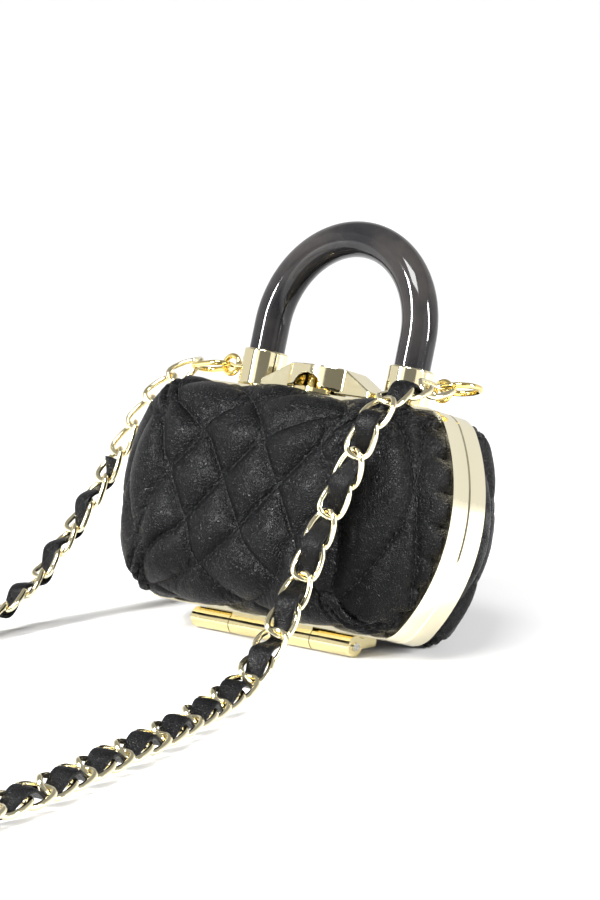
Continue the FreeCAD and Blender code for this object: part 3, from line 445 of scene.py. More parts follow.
KEEPER_ANGLE = math.radians(-115.0)
KEEPER_HALF_OUT = 0.0049
KEEPER_HALF_UP = CHAIN_DIAMETER - 0.0001
KEEPER_STEPS = 64
KEEPER_SECTION = (
    (-0.0028, 0.0),
    (-0.003, 0.0004),
    (-0.0027, 0.0008),
    (0.0, 0.0009),
    (0.0027, 0.0008),
    (0.003, 0.0004),
    (0.0028, 0.0),
    (0.0, -0.0001),
)


def coil_points():
    """Points of the put-away turns: once round on the floor, then up onto the first turn."""
    points = []
    for i in range(1, COIL_STEPS):
        turned = COIL_SWEEP * i / COIL_STEPS
        angle = math.radians(COIL_START - turned)
        climb = float(smooth(turned, *COIL_CLIMB))
        height = CHAIN_DIAMETER * (0.5 + climb)
        spot = COIL_CENTRE + Vector((math.cos(angle), math.sin(angle), 0)) * COIL_RADIUS
        points.append((spot.x, spot.y, height))
    return points


def spline_points(controls):
    """Points read along the smooth spline through a route's control points."""
    curve = bpy.data.curves.new("route", "CURVE")
    curve.dimensions = "3D"
    curve.resolution_u = 20
    spline = curve.splines.new("NURBS")
    spline.points.add(len(controls) - 1)
    for point, place in zip(spline.points, controls):
        point.co = (*place, 1.0)
    spline.order_u = 3
    spline.use_endpoint_u = True
    holder = bpy.data.objects.new("route", curve)
    bpy.context.scene.collection.objects.link(holder)
    depsgraph = bpy.context.evaluated_depsgraph_get()
    line = bpy.data.meshes.new_from_object(holder.evaluated_get(depsgraph))
    points = np.array([v.co[:] for v in line.vertices])
    bpy.data.objects.remove(holder)
    bpy.data.curves.remove(curve)
    bpy.data.meshes.remove(line)
    return points


class Route:
    """A smooth line that can be asked for a place, heading and upper side by length."""

    def __init__(self, points):
        steps = np.linalg.norm(np.diff(points, axis=0), axis=1)
        self.points = points
        self.lengths = np.concatenate([[0], np.cumsum(steps)])
        self.length = float(self.lengths[-1])

    def at(self, distance):
        """The place at a length along the line, carried straight on beyond its ends."""
        inside = min(max(distance, 0.0), self.length)
        place = np.array([np.interp(inside, self.lengths, self.points[:, k]) for k in range(3)])
        ends = self.points[1] - self.points[0], self.points[-1] - self.points[-2]
        ends = [end / np.linalg.norm(end) for end in ends]
        over = distance - inside
        return Vector(place + (ends[0] if over < 0 else ends[1]) * over)

    def raised(self, distance):
        """0 where the strap lies flat, 1 where it hangs."""
        place = self.at(distance)
        return float(smooth(place.z, *HANGING_HEIGHTS)) if place.y > HANGING_FROM else 0.0

    def axes(self, distance, reach, floor_roll, jitter=0.0):
        """Heading, sideways and upward directions, rolled as the strap lies there."""
        heading = (self.at(distance + reach) - self.at(distance - reach)).normalized()
        hanging = self.raised(distance)
        facing = Vector((0, -0.9 * hanging, 1 - 0.5 * hanging))
        side = heading.cross(facing).normalized()
        up = side.cross(heading).normalized()
        angle = floor_roll + (HANGING_ROLL - floor_roll) * hanging + jitter
        roll = Matrix.Rotation(math.radians(angle), 3, heading)
        return heading, roll @ side, roll @ up


def link_ring():
    """Centre line of one curb link: a long oval, twisted so neighbours lock and lie flat."""
    around = np.linspace(0, 2 * math.pi, LINK_STEPS, endpoint=False)
    c, s = np.cos(around), np.sin(around)
    along = LINK_HALF_LENGTH * np.sign(c) * np.abs(c) ** LINK_ROUNDNESS[0]
    across = LINK_HALF_WIDTH * np.sign(s) * np.abs(s) ** LINK_ROUNDNESS[1]
    return np.stack([along, across, LINK_TWIST * np.sin(2 * around)], axis=1)


def ring_tube(centres, radius, sides):
    """Points and quads of a closed tube round a ring of centres."""
    ahead = np.roll(centres, -1, axis=0) - np.roll(centres, 1, axis=0)
    ahead /= np.linalg.norm(ahead, axis=1)[:, None]
    up = np.array([0, 0, 1.0])
    side = np.cross(ahead, up)
    side /= np.linalg.norm(side, axis=1)[:, None]
    top = np.cross(side, ahead)
    turns = np.linspace(0, 2 * math.pi, sides, endpoint=False)
    offsets = side[:, None] * np.cos(turns)[None, :, None] + top[:, None] * np.sin(turns)[None, :, None]
    points = (centres[:, None] + radius * offsets).reshape(-1, 3)
    return points, grid_faces(len(centres), sides, wrap_rows=True)


def link_places(route):
    """Lengths along the route of every link's middle; the end links hook through the rings."""
    first = LINK_HALF_LENGTH - FIRST_LINK_OVER
    last = route.length + LAST_LINK_OVER - LINK_HALF_LENGTH
    count = round((last - first) / LINK_PITCH)
    return [first + (last - first) * i / count for i in range(count + 1)]


def make_links(route, places, material):
    """All the strap's curb links as one piece."""
    ring, ring_faces = ring_tube(link_ring(), WIRE_RADIUS, WIRE_SIDES)
    rng = random.Random(7)
    points = []
    faces = []
    for place in places:
        jitter = rng.uniform(-LINK_JITTER, LINK_JITTER)
        turn = np.array(route.axes(place, LINK_PITCH / 2, FLOOR_ROLL, jitter))
        start = len(points)
        points.extend(ring @ turn + np.array(route.at(place)))
        faces.extend(tuple(start + i for i in face) for face in ring_faces)
    return mesh_object("strap_chain", points, faces, material)


def ribbon_section():
    """The outline of the flat leather ribbon, rounded at its edges."""
    half = RIBBON_HALF_WIDTH
    thick = RIBBON_THICKNESS / 2
    shape = []
    for i in range(RIBBON_SIDES):
        angle = 2 * math.pi * i / RIBBON_SIDES
        c, s = math.cos(angle), math.sin(angle)
        shape.append((half * math.copysign(abs(c) ** 0.35, c), thick * math.copysign(abs(s) ** 0.6, s)))
    return shape


def make_ribbon(route, places, material):
    """The leather ribbon: over one joint of the links and under the next."""
    unit = 2 * (places[1] - places[0])
    crest = places[1] + 0.25 * unit
    start = RIBBON_START
    end = route.length - RIBBON_STOP
    count = round((end - start) / RIBBON_STEP)
    section = ribbon_section()
    points = []
    for i in range(count + 1):
        place = start + (end - start) * i / count
        _, side, up = route.axes(place, RIBBON_REACH, RIBBON_FLOOR_ROLL)
        phase = math.cos(2 * math.pi * (place - crest) / unit)
        tilt = math.radians(RIBBON_TILT * noise.noise(Vector((place * RIBBON_TILT_SCALE, 0, 3))))
        narrow = RIBBON_WIDTHS[0] + RIBBON_WIDTHS[1] * phase
        centre = route.at(place) + up * (RIBBON_RISE * phase)
        for x, z in section:
            across = side * (x * narrow * math.cos(tilt)) + up * (x * math.sin(tilt))
            crown = RIBBON_CROWN * (1 - (x / RIBBON_HALF_WIDTH) ** 2)
            points.append(centre + across + up * (z + crown))
    faces = grid_faces(count + 1, len(section))
    faces.append(tuple(range(len(section)))[::-1])
    last = count * len(section)
    faces.append(tuple(last + k for k in range(len(section))))
    return mesh_object("strap_ribbon", points, faces, material)


def make_tie(material):
    """A narrow leather keeper buckled round the coil."""
    out = Vector((math.cos(KEEPER_ANGLE), math.sin(KEEPER_ANGLE), 0))
    along = Vector((-out.y, out.x, 0))
    middle = COIL_CENTRE + out * COIL_RADIUS + Vector((0, 0, CHAIN_DIAMETER))
    points = []
    for i in range(KEEPER_STEPS):
        angle = 2 * math.pi * i / KEEPER_STEPS
        c, s = math.cos(angle), math.sin(angle)
        x = math.copysign(abs(c) ** 0.5, c)
        z = math.copysign(abs(s) ** 0.5, s)
        outward = (out * x + Vector((0, 0, 1)) * z).normalized()
        place = middle + out * (x * KEEPER_HALF_OUT) + Vector((0, 0, z * KEEPER_HALF_UP))
        for width, thick in KEEPER_SECTION:
            points.append(place + along * width + outward * thick)
    faces = grid_faces(KEEPER_STEPS, len(KEEPER_SECTION), wrap_rows=True)
    return mesh_object("strap_keeper", points, faces, material)


# ------------------------------------------------------------------ quilted covers

# The diamond quilting, in millimetres on the leather laid flat: the step between
# crossings along a row, and the step down to the next row.
QUILT_STEP = 21.0
QUILT_DOWN = 13.4
QUILT_SHIFT = 9.5
QUILT_X = 6.8
QUILT_Z = 50.35
FIRST_GAP = 17.1
SECOND_GAP = 15.9
PUFF = 1.8
PUFF_VARIES = 0.2
CREASE = 0.5
CREASE_WIDTH = 0.6
SUNK = 1.75

# The scalloped edge beside the band, and the small folds of the side walls.
LOBE = 9.6
LOBE_RISE = 2.2
LOBE_SINK = 0.3
LOBE_WANDER = 2.2
LOBE_END = 7.0
FOLD_RISE = 0.45
FOLD_FLATTEN = np.array([1.0, 1.0, 0.28])
RIPPLE_RISE = 0.10

# Steps along a quarter of the outline: side, corner and top; then the rings of the grid.
QUARTER = (46, 34, 64)
RING = 4 * sum(QUARTER)
ARC_STEP = 0.62
FACE_RINGS = 24
SPINE_SHARE = 0.56

# The cover's turned-in edge (inset and distance behind the band) and its inner side.
TUCK = ((3.4, 0.35), (2.3, 0.25), (1.5, 0.35))
THICKNESS = 3.4
INNER_ARCS = (0.0, 0.3, 0.6, 0.8, 1.0)
INNER_FACES = (0.35, 0.7, 1.0)
INNER_EDGE = 0.6

# How far beside a seam its stitches hold the leather; how close points, in metres, merge.
SEAM_HOLD = 0.7
MERGE = 0.00002


class Padding:
    """One padded half: the shape that its quilted cover follows."""

    def __init__(self, side, depth, rounding, taper, shift):
        self.side = side
        self.depth = depth
        self.rounding = rounding
        self.taper = taper
        self.shift = shift
        self.wall = depth - rounding - BAND_DEPTH
        self.reach = self.wall + rounding * math.pi / 2
        self.face, self.face_normals = outline(self.drop(90), self.corner(90), taper)
        edge = outline(COVER_INSET, CORNER - COVER_INSET)[0]
        steps = np.linalg.norm(np.roll(edge, -1, axis=0) - edge, axis=1)
        self.round = np.cumsum(steps) - steps[0]

    def drop(self, turn):
        return COVER_INSET + self.rounding * (1 - math.cos(math.radians(turn)))

    def corner(self, turn):
        growth = CORNER_GROWTH * self.rounding * (1 - math.cos(math.radians(turn)))
        return CORNER - COVER_INSET + growth

    def ring(self, arc):
        """Points, normals and flat positions of the ring at one distance from the band."""
        turn = min(90.0, math.degrees(max(0.0, arc - self.wall) / self.rounding))
        lean = math.radians(turn)
        depth = BAND_DEPTH + min(arc, self.wall) + self.rounding * math.sin(lean)
        share = (depth - BAND_DEPTH) / (self.depth - BAND_DEPTH)
        line, outward = outline(self.drop(turn), self.corner(turn), self.taper * share)
        return self.place(line, depth), self.direction(outward, lean), self.flat(arc)

    def place(self, line, depth):
        return np.stack([line[:, 0], np.full(len(line), self.side * depth), line[:, 1]], axis=1)

    def direction(self, outward, lean):
        """Outward directions; the walls face a little forward because they draw in."""
        slope = self.taper / (self.depth - BAND_DEPTH)
        front = self.side * (math.sin(lean) + slope * np.abs(outward[:, 0]) * math.cos(lean))
        normals = np.stack([outward[:, 0] * math.cos(lean), front, outward[:, 1] * math.cos(lean)], axis=1)
        return normals / np.linalg.norm(normals, axis=1)[:, None]

    def flat(self, arc):
        return self.face + self.face_normals * (self.reach - arc)

    def face_ring(self, share):
        """A ring on the flat face, drawn in towards a line along its middle."""
        middle = 0.5 * (self.face[:, 1].max() + self.face[:, 1].min())
        index = np.arange(RING)
        mirrored = np.minimum(index, RING - index)
        spine_x = SPINE_SHARE * self.face[mirrored, 0]
        spine = np.stack([spine_x, np.full(RING, middle)], axis=1)
        line = (1 - share) * self.face + share * spine
        return self.place(line, self.depth), self.direction(self.face_normals, math.pi / 2), line


def outline(inset, corner, narrower=0.0):
    """Points (x, z) round the bag's outline, smaller by an inset and narrower, with normals."""
    bow = SIDE_RADIUS - inset
    side_x = SIDE_X - narrower

    def quarter(edge, way):
        centre_z = edge - way * corner
        centre_x = side_x + math.sqrt((bow - corner) ** 2 - (centre_z - SIDE_Z) ** 2)
        turn = math.atan2(way * (centre_z - SIDE_Z), centre_x - side_x)
        sides = []
        for angle in np.linspace(0, turn, QUARTER[0], endpoint=False):
            normal = (math.cos(angle), way * math.sin(angle))
            sides.append((side_x + bow * normal[0], SIDE_Z + bow * normal[1], *normal))
        for angle in np.linspace(turn, math.pi / 2, QUARTER[1], endpoint=False):
            normal = (math.cos(angle), way * math.sin(angle))
            sides.append((centre_x + corner * normal[0], centre_z + corner * normal[1], *normal))
        for x in np.linspace(centre_x, 0, QUARTER[2] + 1):
            sides.append((x, edge, 0.0, float(way)))
        return np.array(sides)

    def half(edge, way):
        right = quarter(edge, way)
        left = right[::-1][1:] * np.array([-1, 1, -1, 1])
        return np.concatenate([right, left])

    top = half(FRAME_HEIGHT - inset, 1)
    base = half(inset, -1)[::-1][1:-1]
    whole = np.concatenate([top, base])
    return whole[:, :2], whole[:, 2:]


def seam_phases(flat):
    """Counts of quilting rows crossed in each of the two directions, seams at whole numbers."""
    down = -(flat[:, 1] - QUILT_Z) / QUILT_DOWN
    first = (flat[:, 0] - QUILT_X - QUILT_SHIFT * down) / QUILT_STEP
    return first, first + down


def seam_distances(first, second):
    """Distances to the nearest seam of each direction, in millimetres."""
    return np.abs(first - np.round(first)) * FIRST_GAP, np.abs(second - np.round(second)) * SECOND_GAP


def cloud(points, scale, seed):
    """Soft noise, from -1 to 1, at points in millimetres."""
    return np.array([noise.noise(Vector((p[0] / scale, p[1] / scale, p[2] / scale + seed))) for p in points])


def relief(padding, base, flat, arc):
    """How far the leather stands out from the padding's smooth shape, in millimetres."""
    first, second = seam_phases(flat)
    across = np.abs(np.sin(math.pi * first))
    down = np.abs(np.sin(math.pi * second))
    dome = across * down
    first_away, second_away = seam_distances(first, second)
    crease = (1 - np.exp(-first_away / CREASE_WIDTH)) * (1 - np.exp(-second_away / CREASE_WIDTH))
    puff = PUFF * dome * (1 + PUFF_VARIES * cloud(base, 17.0, 3.0)) + CREASE * crease
    near = 1 - smooth(arc, 0.0, LOBE_END)
    wander = LOBE_WANDER * cloud(np.stack([padding.round] * 3, axis=1), 31.0, 5.0)
    lobe = np.abs(np.sin(math.pi * (padding.round + wander) / LOBE)) ** 0.6
    puff = puff * (1 - near) + near * (LOBE_RISE * lobe - LOBE_SINK)
    fold_share = smooth(np.abs(base[:, 0]), 30, 44) * smooth(arc, 1.5, 5) * (1 - smooth(arc, 16, 30))
    folds = FOLD_RISE * cloud(base * FOLD_FLATTEN, 4.2, 9.0) * fold_share
    ripple = RIPPLE_RISE * cloud(base, 3.2, 21.0)
    return -SUNK + puff + folds + ripple


def seam_hold(flat, arc):
    """How firmly the stitching and the band hold the leather, from 0 to 1."""
    first, second = seam_phases(flat)
    away = np.minimum(*seam_distances(first, second))
    return np.maximum(np.exp(-((away / SEAM_HOLD) ** 2)), 1.0 - smooth(arc, 0.3, 1.6))


def cover_rings(padding):
    """Every ring of a cover's outer side, from the band to the middle of the face."""
    arcs = np.arange(0.0, padding.reach, ARC_STEP)
    rings = [(*padding.ring(arc), arc) for arc in arcs]
    for i in range(FACE_RINGS + 1):
        rings.append((*padding.face_ring(i / FACE_RINGS), padding.reach))
    return rings


def outer_rings(padding):
    """Rings of the cover's tucked edge and outer side, and how firmly each is held."""
    rows = []
    held = []
    for inset, back in TUCK:
        line = outline(COVER_INSET + inset, CORNER - COVER_INSET - inset)[0]
        rows.append(padding.place(line, BAND_DEPTH + back))
        held.append(np.ones(RING))
    for base, normals, flat, arc in cover_rings(padding):
        lift = relief(padding, base, flat + padding.shift, arc)
        rows.append(base + normals * lift[:, None])
        held.append(seam_hold(flat + padding.shift, arc))
    return rows, held


def inner_rings(padding):
    """Rings of the cover's inner side, from the middle of the face back to the band."""
    rows = []
    for share in INNER_ARCS:
        base, normals, _ = padding.ring(padding.reach * share)
        rows.append(base - normals * THICKNESS)
    for share in INNER_FACES:
        base, normals, _ = padding.face_ring(share)
        rows.append(base - normals * THICKNESS)
    rows[0][:, 1] = padding.side * (BAND_DEPTH + INNER_EDGE)
    return rows[::-1]


def cover_faces(outer, inner, side):
    """Quads of the outer side and the inner side, joined at the tucked edge."""
    faces = grid_faces(outer, RING)
    faces += grid_faces(inner, RING, start=outer * RING)
    last = (outer + inner - 1) * RING
    for j in range(RING):
        faces.append((last + j, last + (j + 1) % RING, (j + 1) % RING, j))
    return [face[::-1] for face in faces] if side > 0 else faces


def hold(cover, held):
    """Writes how firmly every vertex is held into the cover's vertex group."""
    group = cover.vertex_groups.new(name="held")
    for index, weight in enumerate(held):
        if weight > 0.01:
            group.add([index], float(weight), "REPLACE")


def weld(cover):
    """Joins vertices that share a place, and turns every face outward."""
    mesh = bmesh.new()
    mesh.from_mesh(cover.data)
    bmesh.ops.remove_doubles(mesh, verts=mesh.verts, dist=MERGE)
    bmesh.ops.recalc_face_normals(mesh, faces=mesh.faces)
    mesh.to_mesh(cover.data)
    mesh.free()


def make_cover(name, padding, material):
    """A quilted leather cover, closed behind by its own inner side."""
    outer, held = outer_rings(padding)
    inner = inner_rings(padding)
    points = [BAG @ Vector(p) for p in np.concatenate(outer + inner) * MM]
    faces = cover_faces(len(outer), len(inner), padding.side)
    cover = mesh_object(name, points, faces, material)
    hold(cover, np.concatenate(held + [np.ones(RING)] * len(inner)))
    weld(cover)
    inflate(cover)
    cover.vertex_groups.clear()
    cover.data.polygons.foreach_set("use_smooth", [True] * len(cover.data.polygons))
    return cover


CLOTH_SCALE = 20.0
CLOTH_FRAMES = 9
CLOTH_PRESSURE = 60.0
CLOTH_REACH = 0.9


def leather_cloth(cover):
    """The cloth modifier: stiff leather held at its seams, with the filling's pressure inside."""
    cloth = cover.modifiers.new("leather", "CLOTH")
    cloth.settings.vertex_group_mass = "held"
    cloth.settings.quality = 4
    cloth.settings.mass = 0.02
    cloth.settings.tension_stiffness = 14
    cloth.settings.compression_stiffness = 14
    cloth.settings.shear_stiffness = 6
    cloth.settings.bending_stiffness = 1.5
    cloth.settings.air_damping = 3
    cloth.settings.shrink_min = -0.05
    cloth.settings.use_pressure = True
    cloth.settings.uniform_pressure_force = CLOTH_PRESSURE
    cloth.settings.effector_weights.gravity = 0
    cloth.collision_settings.use_collision = False
    cloth.point_cache.frame_start = 1
    cloth.point_cache.frame_end = CLOTH_FRAMES


def inflate(cover):
    """Cloth simulation: the filling presses the leather out between its held seams."""
    cover.data.transform(Matrix.Scale(CLOTH_SCALE, 4))
    before = np.array([v.co[:] for v in cover.data.vertices])
    leather_cloth(cover)
    scene = bpy.context.scene
    for number in range(1, CLOTH_FRAMES + 1):
        scene.frame_set(number)
    apply_modifiers(cover)
    scene.frame_set(1)
    after = np.array([v.co[:] for v in cover.data.vertices])
    moved = after - before
    far = np.linalg.norm(moved, axis=1)
    limit = CLOTH_REACH * MM * CLOTH_SCALE
    scale = limit * np.tanh(far / limit) / np.maximum(far, 1e-9)
    settled = (before + moved * scale[:, None]) / CLOTH_SCALE
    cover.data.vertices.foreach_set("co", settled.ravel())
    cover.data.update()


# One stitch and the gap after it, in millimetres, with its shape from end to end. PROBE,
# in metres, is how far above the leather a stitch's place is looked for. ROWS_REACH and
# SEAMS_REACH count quilting rows and seams, enough to cover a padded half.
STITCH = 1.5
STITCH_GAP = 0.55
STITCH_AHEAD = 0.3
STITCH_PROFILE = ((0.0, -0.30), (0.12, 0.02), (0.35, 0.14), (0.65, 0.14), (0.88, 0.02), (1.0, -0.30))
SHORTEST_RUN = 6
THREAD_RADIUS = 0.2
THREAD_SIDES = 6
BAND_MARGIN = 0.9
PROBE = 0.006
ROWS_REACH = 9.0
ROW_STEP = 0.028
SEAMS_REACH = 10


def seam_lines(padding):
    """Every quilting seam as points in the leather's flat coordinates, 0.5 mm apart or less."""
    down = np.arange(-ROWS_REACH, ROWS_REACH, ROW_STEP)
    height = QUILT_Z - QUILT_DOWN * down
    for count in range(-SEAMS_REACH, SEAMS_REACH + 1):
        for across in (QUILT_STEP * count, QUILT_STEP * (count - down)):
            line = np.stack([QUILT_X + QUILT_SHIFT * down + across, height], axis=1)
            yield line - padding.shift


def wrap_onto(padding, line):
    """Places and outward directions on the padded half for flat points, and which are on it."""
    arcs = np.arange(0.0, padding.reach + ARC_STEP, ARC_STEP)
    rings = [padding.ring(min(arc, padding.reach)) for arc in arcs]
    grid = np.array([ring[0] for ring in rings])
    aims = np.array([ring[1] for ring in rings])
    gaps = line[:, None] - padding.face[None]
    nearest = np.argmin((gaps**2).sum(axis=2), axis=1)
    rows = np.arange(len(line))
    out = (gaps[rows, nearest] * padding.face_normals[nearest]).sum(axis=1)
    along = np.stack([-padding.face_normals[nearest, 1], padding.face_normals[nearest, 0]], axis=1)
    beside = (gaps[rows, nearest] * along).sum(axis=1)
    spacing = np.linalg.norm(np.roll(padding.face, -1, axis=0) - padding.face, axis=1)[nearest]
    share = np.clip(beside / spacing, -0.5, 0.5)
    step = np.where(share < 0, -1, 1)
    arc = padding.reach - out
    level = np.clip(arc / ARC_STEP, 0, len(arcs) - 1.001)
    low = level.astype(int)
    mix = (level - low)[:, None]

    def read(table):
        here = table[low, nearest] * (1 - mix) + table[low + 1, nearest] * mix
        beyond = (nearest + step) % RING
        there = table[low, beyond] * (1 - mix) + table[low + 1, beyond] * mix
        return here + (there - here) * np.abs(share)[:, None]

    places, normals = read(grid), read(aims)
    inside = out <= 0
    flat_face = np.stack([line[:, 0], np.full(len(line), padding.side * padding.depth), line[:, 1]], axis=1)
    places[inside] = flat_face[inside]
    normals[inside] = (0, padding.side, 0)
    return places, normals, arc > BAND_MARGIN


def make_stitches(name, padding, cover, material):
    """The quilting thread: one small sunk stitch after another along every seam."""
    tree = BVHTree.FromObject(cover, bpy.context.evaluated_depsgraph_get())
    turn = BAG.to_3x3()
    points = []
    faces = []
    for line in seam_lines(padding):
        places, normals, kept = wrap_onto(padding, line)
        row = []
        for place, normal, keep in zip(places, normals, kept):
            hit = None
            if keep:
                aim = turn @ Vector(normal)
                hit = tree.ray_cast(BAG @ Vector(place * MM) + aim * PROBE, -aim, 2 * PROBE)[0]
            if hit is None:
                add_stitches(row, points, faces)
                row = []
            else:
                row.append((np.array(hit), np.array(aim)))
        add_stitches(row, points, faces)
    return mesh_object(name, points, faces, material)


def add_stitches(row, points, faces):
    """Stitches along one run of surface points."""
    if len(row) < SHORTEST_RUN:
        return
    spots = np.array([spot for spot, _ in row])
    ups = np.array([up for _, up in row])
    lengths = np.concatenate([[0], np.cumsum(np.linalg.norm(np.diff(spots, axis=0), axis=1))]) / MM
    start = STITCH_GAP
    while start + STITCH < lengths[-1]:
        first = len(points)
        for share, lift in STITCH_PROFILE:
            place = start + STITCH * share
            centre = np.array([np.interp(place, lengths, spots[:, k]) for k in range(3)])
            ahead = np.array([np.interp(place + STITCH_AHEAD, lengths, spots[:, k]) for k in range(3)])
            up = np.array([np.interp(place, lengths, ups[:, k]) for k in range(3)])
            heading = Vector(ahead - centre).normalized()
            side = np.array(heading.cross(Vector(up)).normalized())
            for k in range(THREAD_SIDES):
                angle = 2 * math.pi * k / THREAD_SIDES
                reach = side * math.cos(angle) + up * math.sin(angle)
                points.append(centre + (up * lift + reach * THREAD_RADIUS) * MM)
        faces.extend(grid_faces(len(STITCH_PROFILE), THREAD_SIDES, start=first))
        last = first + (len(STITCH_PROFILE) - 1) * THREAD_SIDES
        faces.append(tuple(first + k for k in range(THREAD_SIDES))[::-1])
        faces.append(tuple(last + k for k in range(THREAD_SIDES)))
        start += STITCH + STITCH_GAP


# ------------------------------------------------------------------------ hardware

SOFTEN_VOXEL = 0.00026


def soften(name, node, material):
    """A copy of a sharp metal part with its edges broken as polishing leaves them."""
    mesh = frame["nodes"][node].data.copy()
    thing = bpy.data.objects.new(name, mesh)
    bpy.context.scene.collection.objects.link(thing)
    thing.matrix_world = frame["nodes"][node].matrix_world.copy()
    remesh = thing.modifiers.new("even", "REMESH")
    remesh.mode = "VOXEL"
    remesh.voxel_size = SOFTEN_VOXEL
    blur = thing.modifiers.new("round", "SMOOTH")
    blur.factor = 0.6
    blur.iterations = 5
    apply_modifiers(thing)
    thing.data.materials.clear()
    thing.data.materials.append(material)
    thing.data.polygons.foreach_set("use_smooth", [True] * len(thing.data.polygons))
    return thing


def paint(material, *nodes):
    """Gives CAD nodes a finished material in place of their plain one."""
    for node in nodes:
        for holder in frame["nodes"][node].material_slots:
            holder.material = material


# ------------------------------------------------------------------- floor and light

FLOOR_HALF = 30.0
FLOOR_Z = -0.0002
FLOOR_DISTANCES = (0.25, 1.6)
FLOOR_GLOW = (0.02, 0.78)

CAMERA_BEARING = -49.1
LIT_POINT = Vector((0, 0, 0.04))

# Brightness of the studio all round: degrees from the camera's bearing, then the level.
LEVELS = (
    (-180, 0.8),
    (-78, 0.8),
    (-74, 0.25),
    (-60, 0.25),
    (-57, 1.2),
    (-36, 1.2),
    (-33, 0.22),
    (24, 0.22),
    (27, 1.1),
    (66, 1.1),
    (70, 0.3),
    (84, 0.3),
    (90, 0.9),
    (180, 0.8),
)
STUDIO_STRENGTH = 2.0
CEILING_LEVEL = 0.16
CEILING_START = (0.5, 0.62)

# Each lamp's name, bearing from the camera's, height in degrees, distance, size and watts.
LAMPS = (
    ("key", -20.0, 62.0, 1.3, (0.5, 0.4), 18),
    ("side_strip", -60.0, 30.0, 1.1, (0.12, 0.5), 46),
    ("wall_strip", 62.0, 22.0, 1.1, (0.1, 0.6), 34),
)


def add_floor():
    """A wide pale floor that goes to white with distance."""
    corners = [(x * FLOOR_HALF, y * FLOOR_HALF, FLOOR_Z) for x, y in ((-1, -1), (1, -1), (1, 1), (-1, 1))]
    shader = Shader("pale_floor")
    shader.colour(shader.blend_colours(shader.noise(2, 2), (0.44, 0.44, 0.44), (0.46, 0.46, 0.46)))
    shader.fixed(Roughness=0.9, Specular_IOR_Level=0.1)
    shader.surface.inputs["Emission Color"].default_value = (1, 1, 1, 1)
    distance = shader.add("ShaderNodeVectorMath", operation="LENGTH")
    shader.join(shader.place, distance.inputs[0])
    glow = shader.remap(distance.outputs["Value"], *FLOOR_DISTANCES, *FLOOR_GLOW)
    shader.join(glow, shader.surface.inputs["Emission Strength"])
    floor = mesh_object("floor", corners, [(0, 1, 2, 3)], shader.material)


def studio_angle(nodes, links, place):
    """How far round a direction points, 0 to 1 with the camera's bearing at 0.5, and its height."""
    split = nodes.new("ShaderNodeSeparateXYZ")
    links.new(place, split.inputs["Vector"])
    angle = nodes.new("ShaderNodeMath")
    angle.operation = "ARCTAN2"
    links.new(split.outputs["Y"], angle.inputs[0])
    links.new(split.outputs["X"], angle.inputs[1])
    share = nodes.new("ShaderNodeMapRange")
    share.inputs["From Min"].default_value = -math.pi
    share.inputs["From Max"].default_value = math.pi
    links.new(angle.outputs["Value"], share.inputs["Value"])
    return share.outputs["Result"], split.outputs["Z"]


def studio_walls(nodes, links, share):
    """The colour ramp that holds the studio's brightness all round."""
    around = nodes.new("ShaderNodeValToRGB")
    links.new(share, around.inputs["Fac"])
    stops = around.color_ramp
    while len(stops.elements) < len(LEVELS):
        stops.elements.new(0.5)
    for element, (degrees, level) in zip(stops.elements, LEVELS):
        element.position = (degrees + 180) / 360
        element.color = (level / 2, level / 2, level / 2, 1)
    return around.outputs["Color"]


def add_world():
    """A white studio: two tall soft boxes with a dimmer gap between them, and a dim ceiling."""
    world = bpy.data.worlds.new("studio")
    bpy.context.scene.world = world
    world.use_nodes = True
    nodes = world.node_tree.nodes
    links = world.node_tree.links
    background = nodes["Background"]
    place = nodes.new("ShaderNodeTexCoord").outputs["Generated"]
    turned = nodes.new("ShaderNodeVectorRotate")
    turned.rotation_type = "Z_AXIS"
    turned.inputs["Angle"].default_value = math.radians(-CAMERA_BEARING)
    links.new(place, turned.inputs["Vector"])
    share, height = studio_angle(nodes, links, turned.outputs["Vector"])
    walls = studio_walls(nodes, links, share)
    ceiling = nodes.new("ShaderNodeMapRange")
    ceiling.interpolation_type = "SMOOTHSTEP"
    ceiling.inputs["From Min"].default_value = CEILING_START[0]
    ceiling.inputs["From Max"].default_value = CEILING_START[1]
    links.new(height, ceiling.inputs["Value"])
    mix = nodes.new("ShaderNodeMix")
    mix.data_type = "RGBA"
    colours = [s for s in mix.inputs if s.type == "RGBA"]
    links.new(ceiling.outputs["Result"], mix.inputs["Factor"])
    links.new(walls, colours[0])
    colours[1].default_value = (CEILING_LEVEL, CEILING_LEVEL, CEILING_LEVEL, 1)
    links.new(next(s for s in mix.outputs if s.type == "RGBA"), background.inputs["Color"])
    background.inputs["Strength"].default_value = STUDIO_STRENGTH


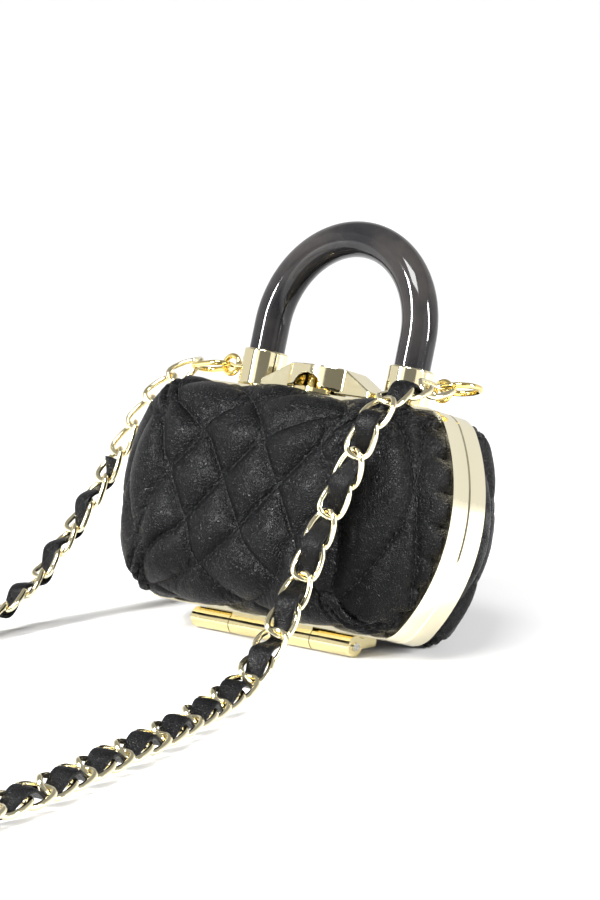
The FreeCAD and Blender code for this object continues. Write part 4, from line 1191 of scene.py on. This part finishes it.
def add_lamps():
    """A soft lamp above, and tall strips to the left and right that rake the walls."""
    for name, bearing, height, distance, size, power in LAMPS:
        lamp = bpy.data.lights.new(name, "AREA")
        lamp.shape = "RECTANGLE"
        lamp.size, lamp.size_y = size
        lamp.energy = power
        holder = bpy.data.objects.new(name, lamp)
        angle = math.radians(CAMERA_BEARING + bearing)
        rise = math.radians(height)
        outward = Vector((math.cos(angle) * math.cos(rise), math.sin(angle) * math.cos(rise), math.sin(rise)))
        holder.location = LIT_POINT + outward * distance
        holder.rotation_euler = (-outward).to_track_quat("-Z", "Y").to_euler()
        bpy.context.scene.collection.objects.link(holder)


# ------------------------------------------------------------------------ the scene

add_camera()
settings = bpy.context.scene.view_settings
settings.view_transform = "Standard"
settings.look = "None"
settings.exposure = 0.0

gold_plate = gold("gold_plate", PALE_GOLD)
# The second gold is the same plating painted deeper yellow: a painted reflection of light bounced between gold
# parts.
bounce_painted_plate = gold("bounce_painted_gold_plate", BOUNCE_PAINTED_GOLD)
link_gold = gold("link_gold", PALE_GOLD, 0.07)
black_leather = leather("pebbled_leather")
ribbon_leather = leather("ribbon_leather", pebble=0.0007, depth=0.00009)

route = Route(spline_points(FRONT_STRAND + coil_points() + BACK_STRAND))
places = link_places(route)
chain = make_links(route, places, link_gold)
ribbon = make_ribbon(route, places, ribbon_leather)
keeper = make_tie(ribbon_leather)
for piece, finish in ((chain, "polished_gold"), (ribbon, "strap_leather"), (keeper, "tie_leather")):
    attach(piece, "front_half")
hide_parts("chain_front_strand", "chain_back_strand", "chain_coil")
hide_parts("coil_tie")

thread_finish = thread()
front = Padding(side=-1, depth=35.0, rounding=19.0, taper=9.0, shift=np.array([0.0, 0.0]))
back = Padding(side=1, depth=36.5, rounding=17.4, taper=11.5, shift=np.array([5.0, 3.0]))
for name, padding, body, node in (
    ("front_quilted_cover", front, "front_half", "front_cover"),
    ("back_quilted_cover", back, "back_half", "back_cover"),
):
    cover = make_cover(name, padding, black_leather)
    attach(cover, body)
    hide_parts(node)
    stitches = make_stitches(name.replace("cover", "thread"), padding, cover, thread_finish)
    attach(stitches, body)

lever = soften("clasp_lever_polished", "clasp_lever", gold_plate)
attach(lever, "clasp")
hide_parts("clasp_lever")

paint(gold_plate, "front_frame", "back_frame", "left_ferrule", "right_ferrule")
# The hinge, eyes, rings, catch and ears take the deeper gold, a painted reflection of bounced light.
paint(bounce_painted_plate, "hinge_centre_knuckle", "hinge_right_knuckle", "hinge_left_knuckle", "left_eye",
      "right_eye", "left_ring", "right_ring", "catch_plate", "catch_post", "left_ear", "right_ear")
paint(resin(), "handle")
paint(steel(), "hinge_pin", "clasp_pin", "clasp_spring", "left_screw", "right_screw")
paint(board(), "front_shell", "back_shell")
paint(lining_cloth(), "front_lining", "back_lining")

add_floor()
add_world()
add_lamps()
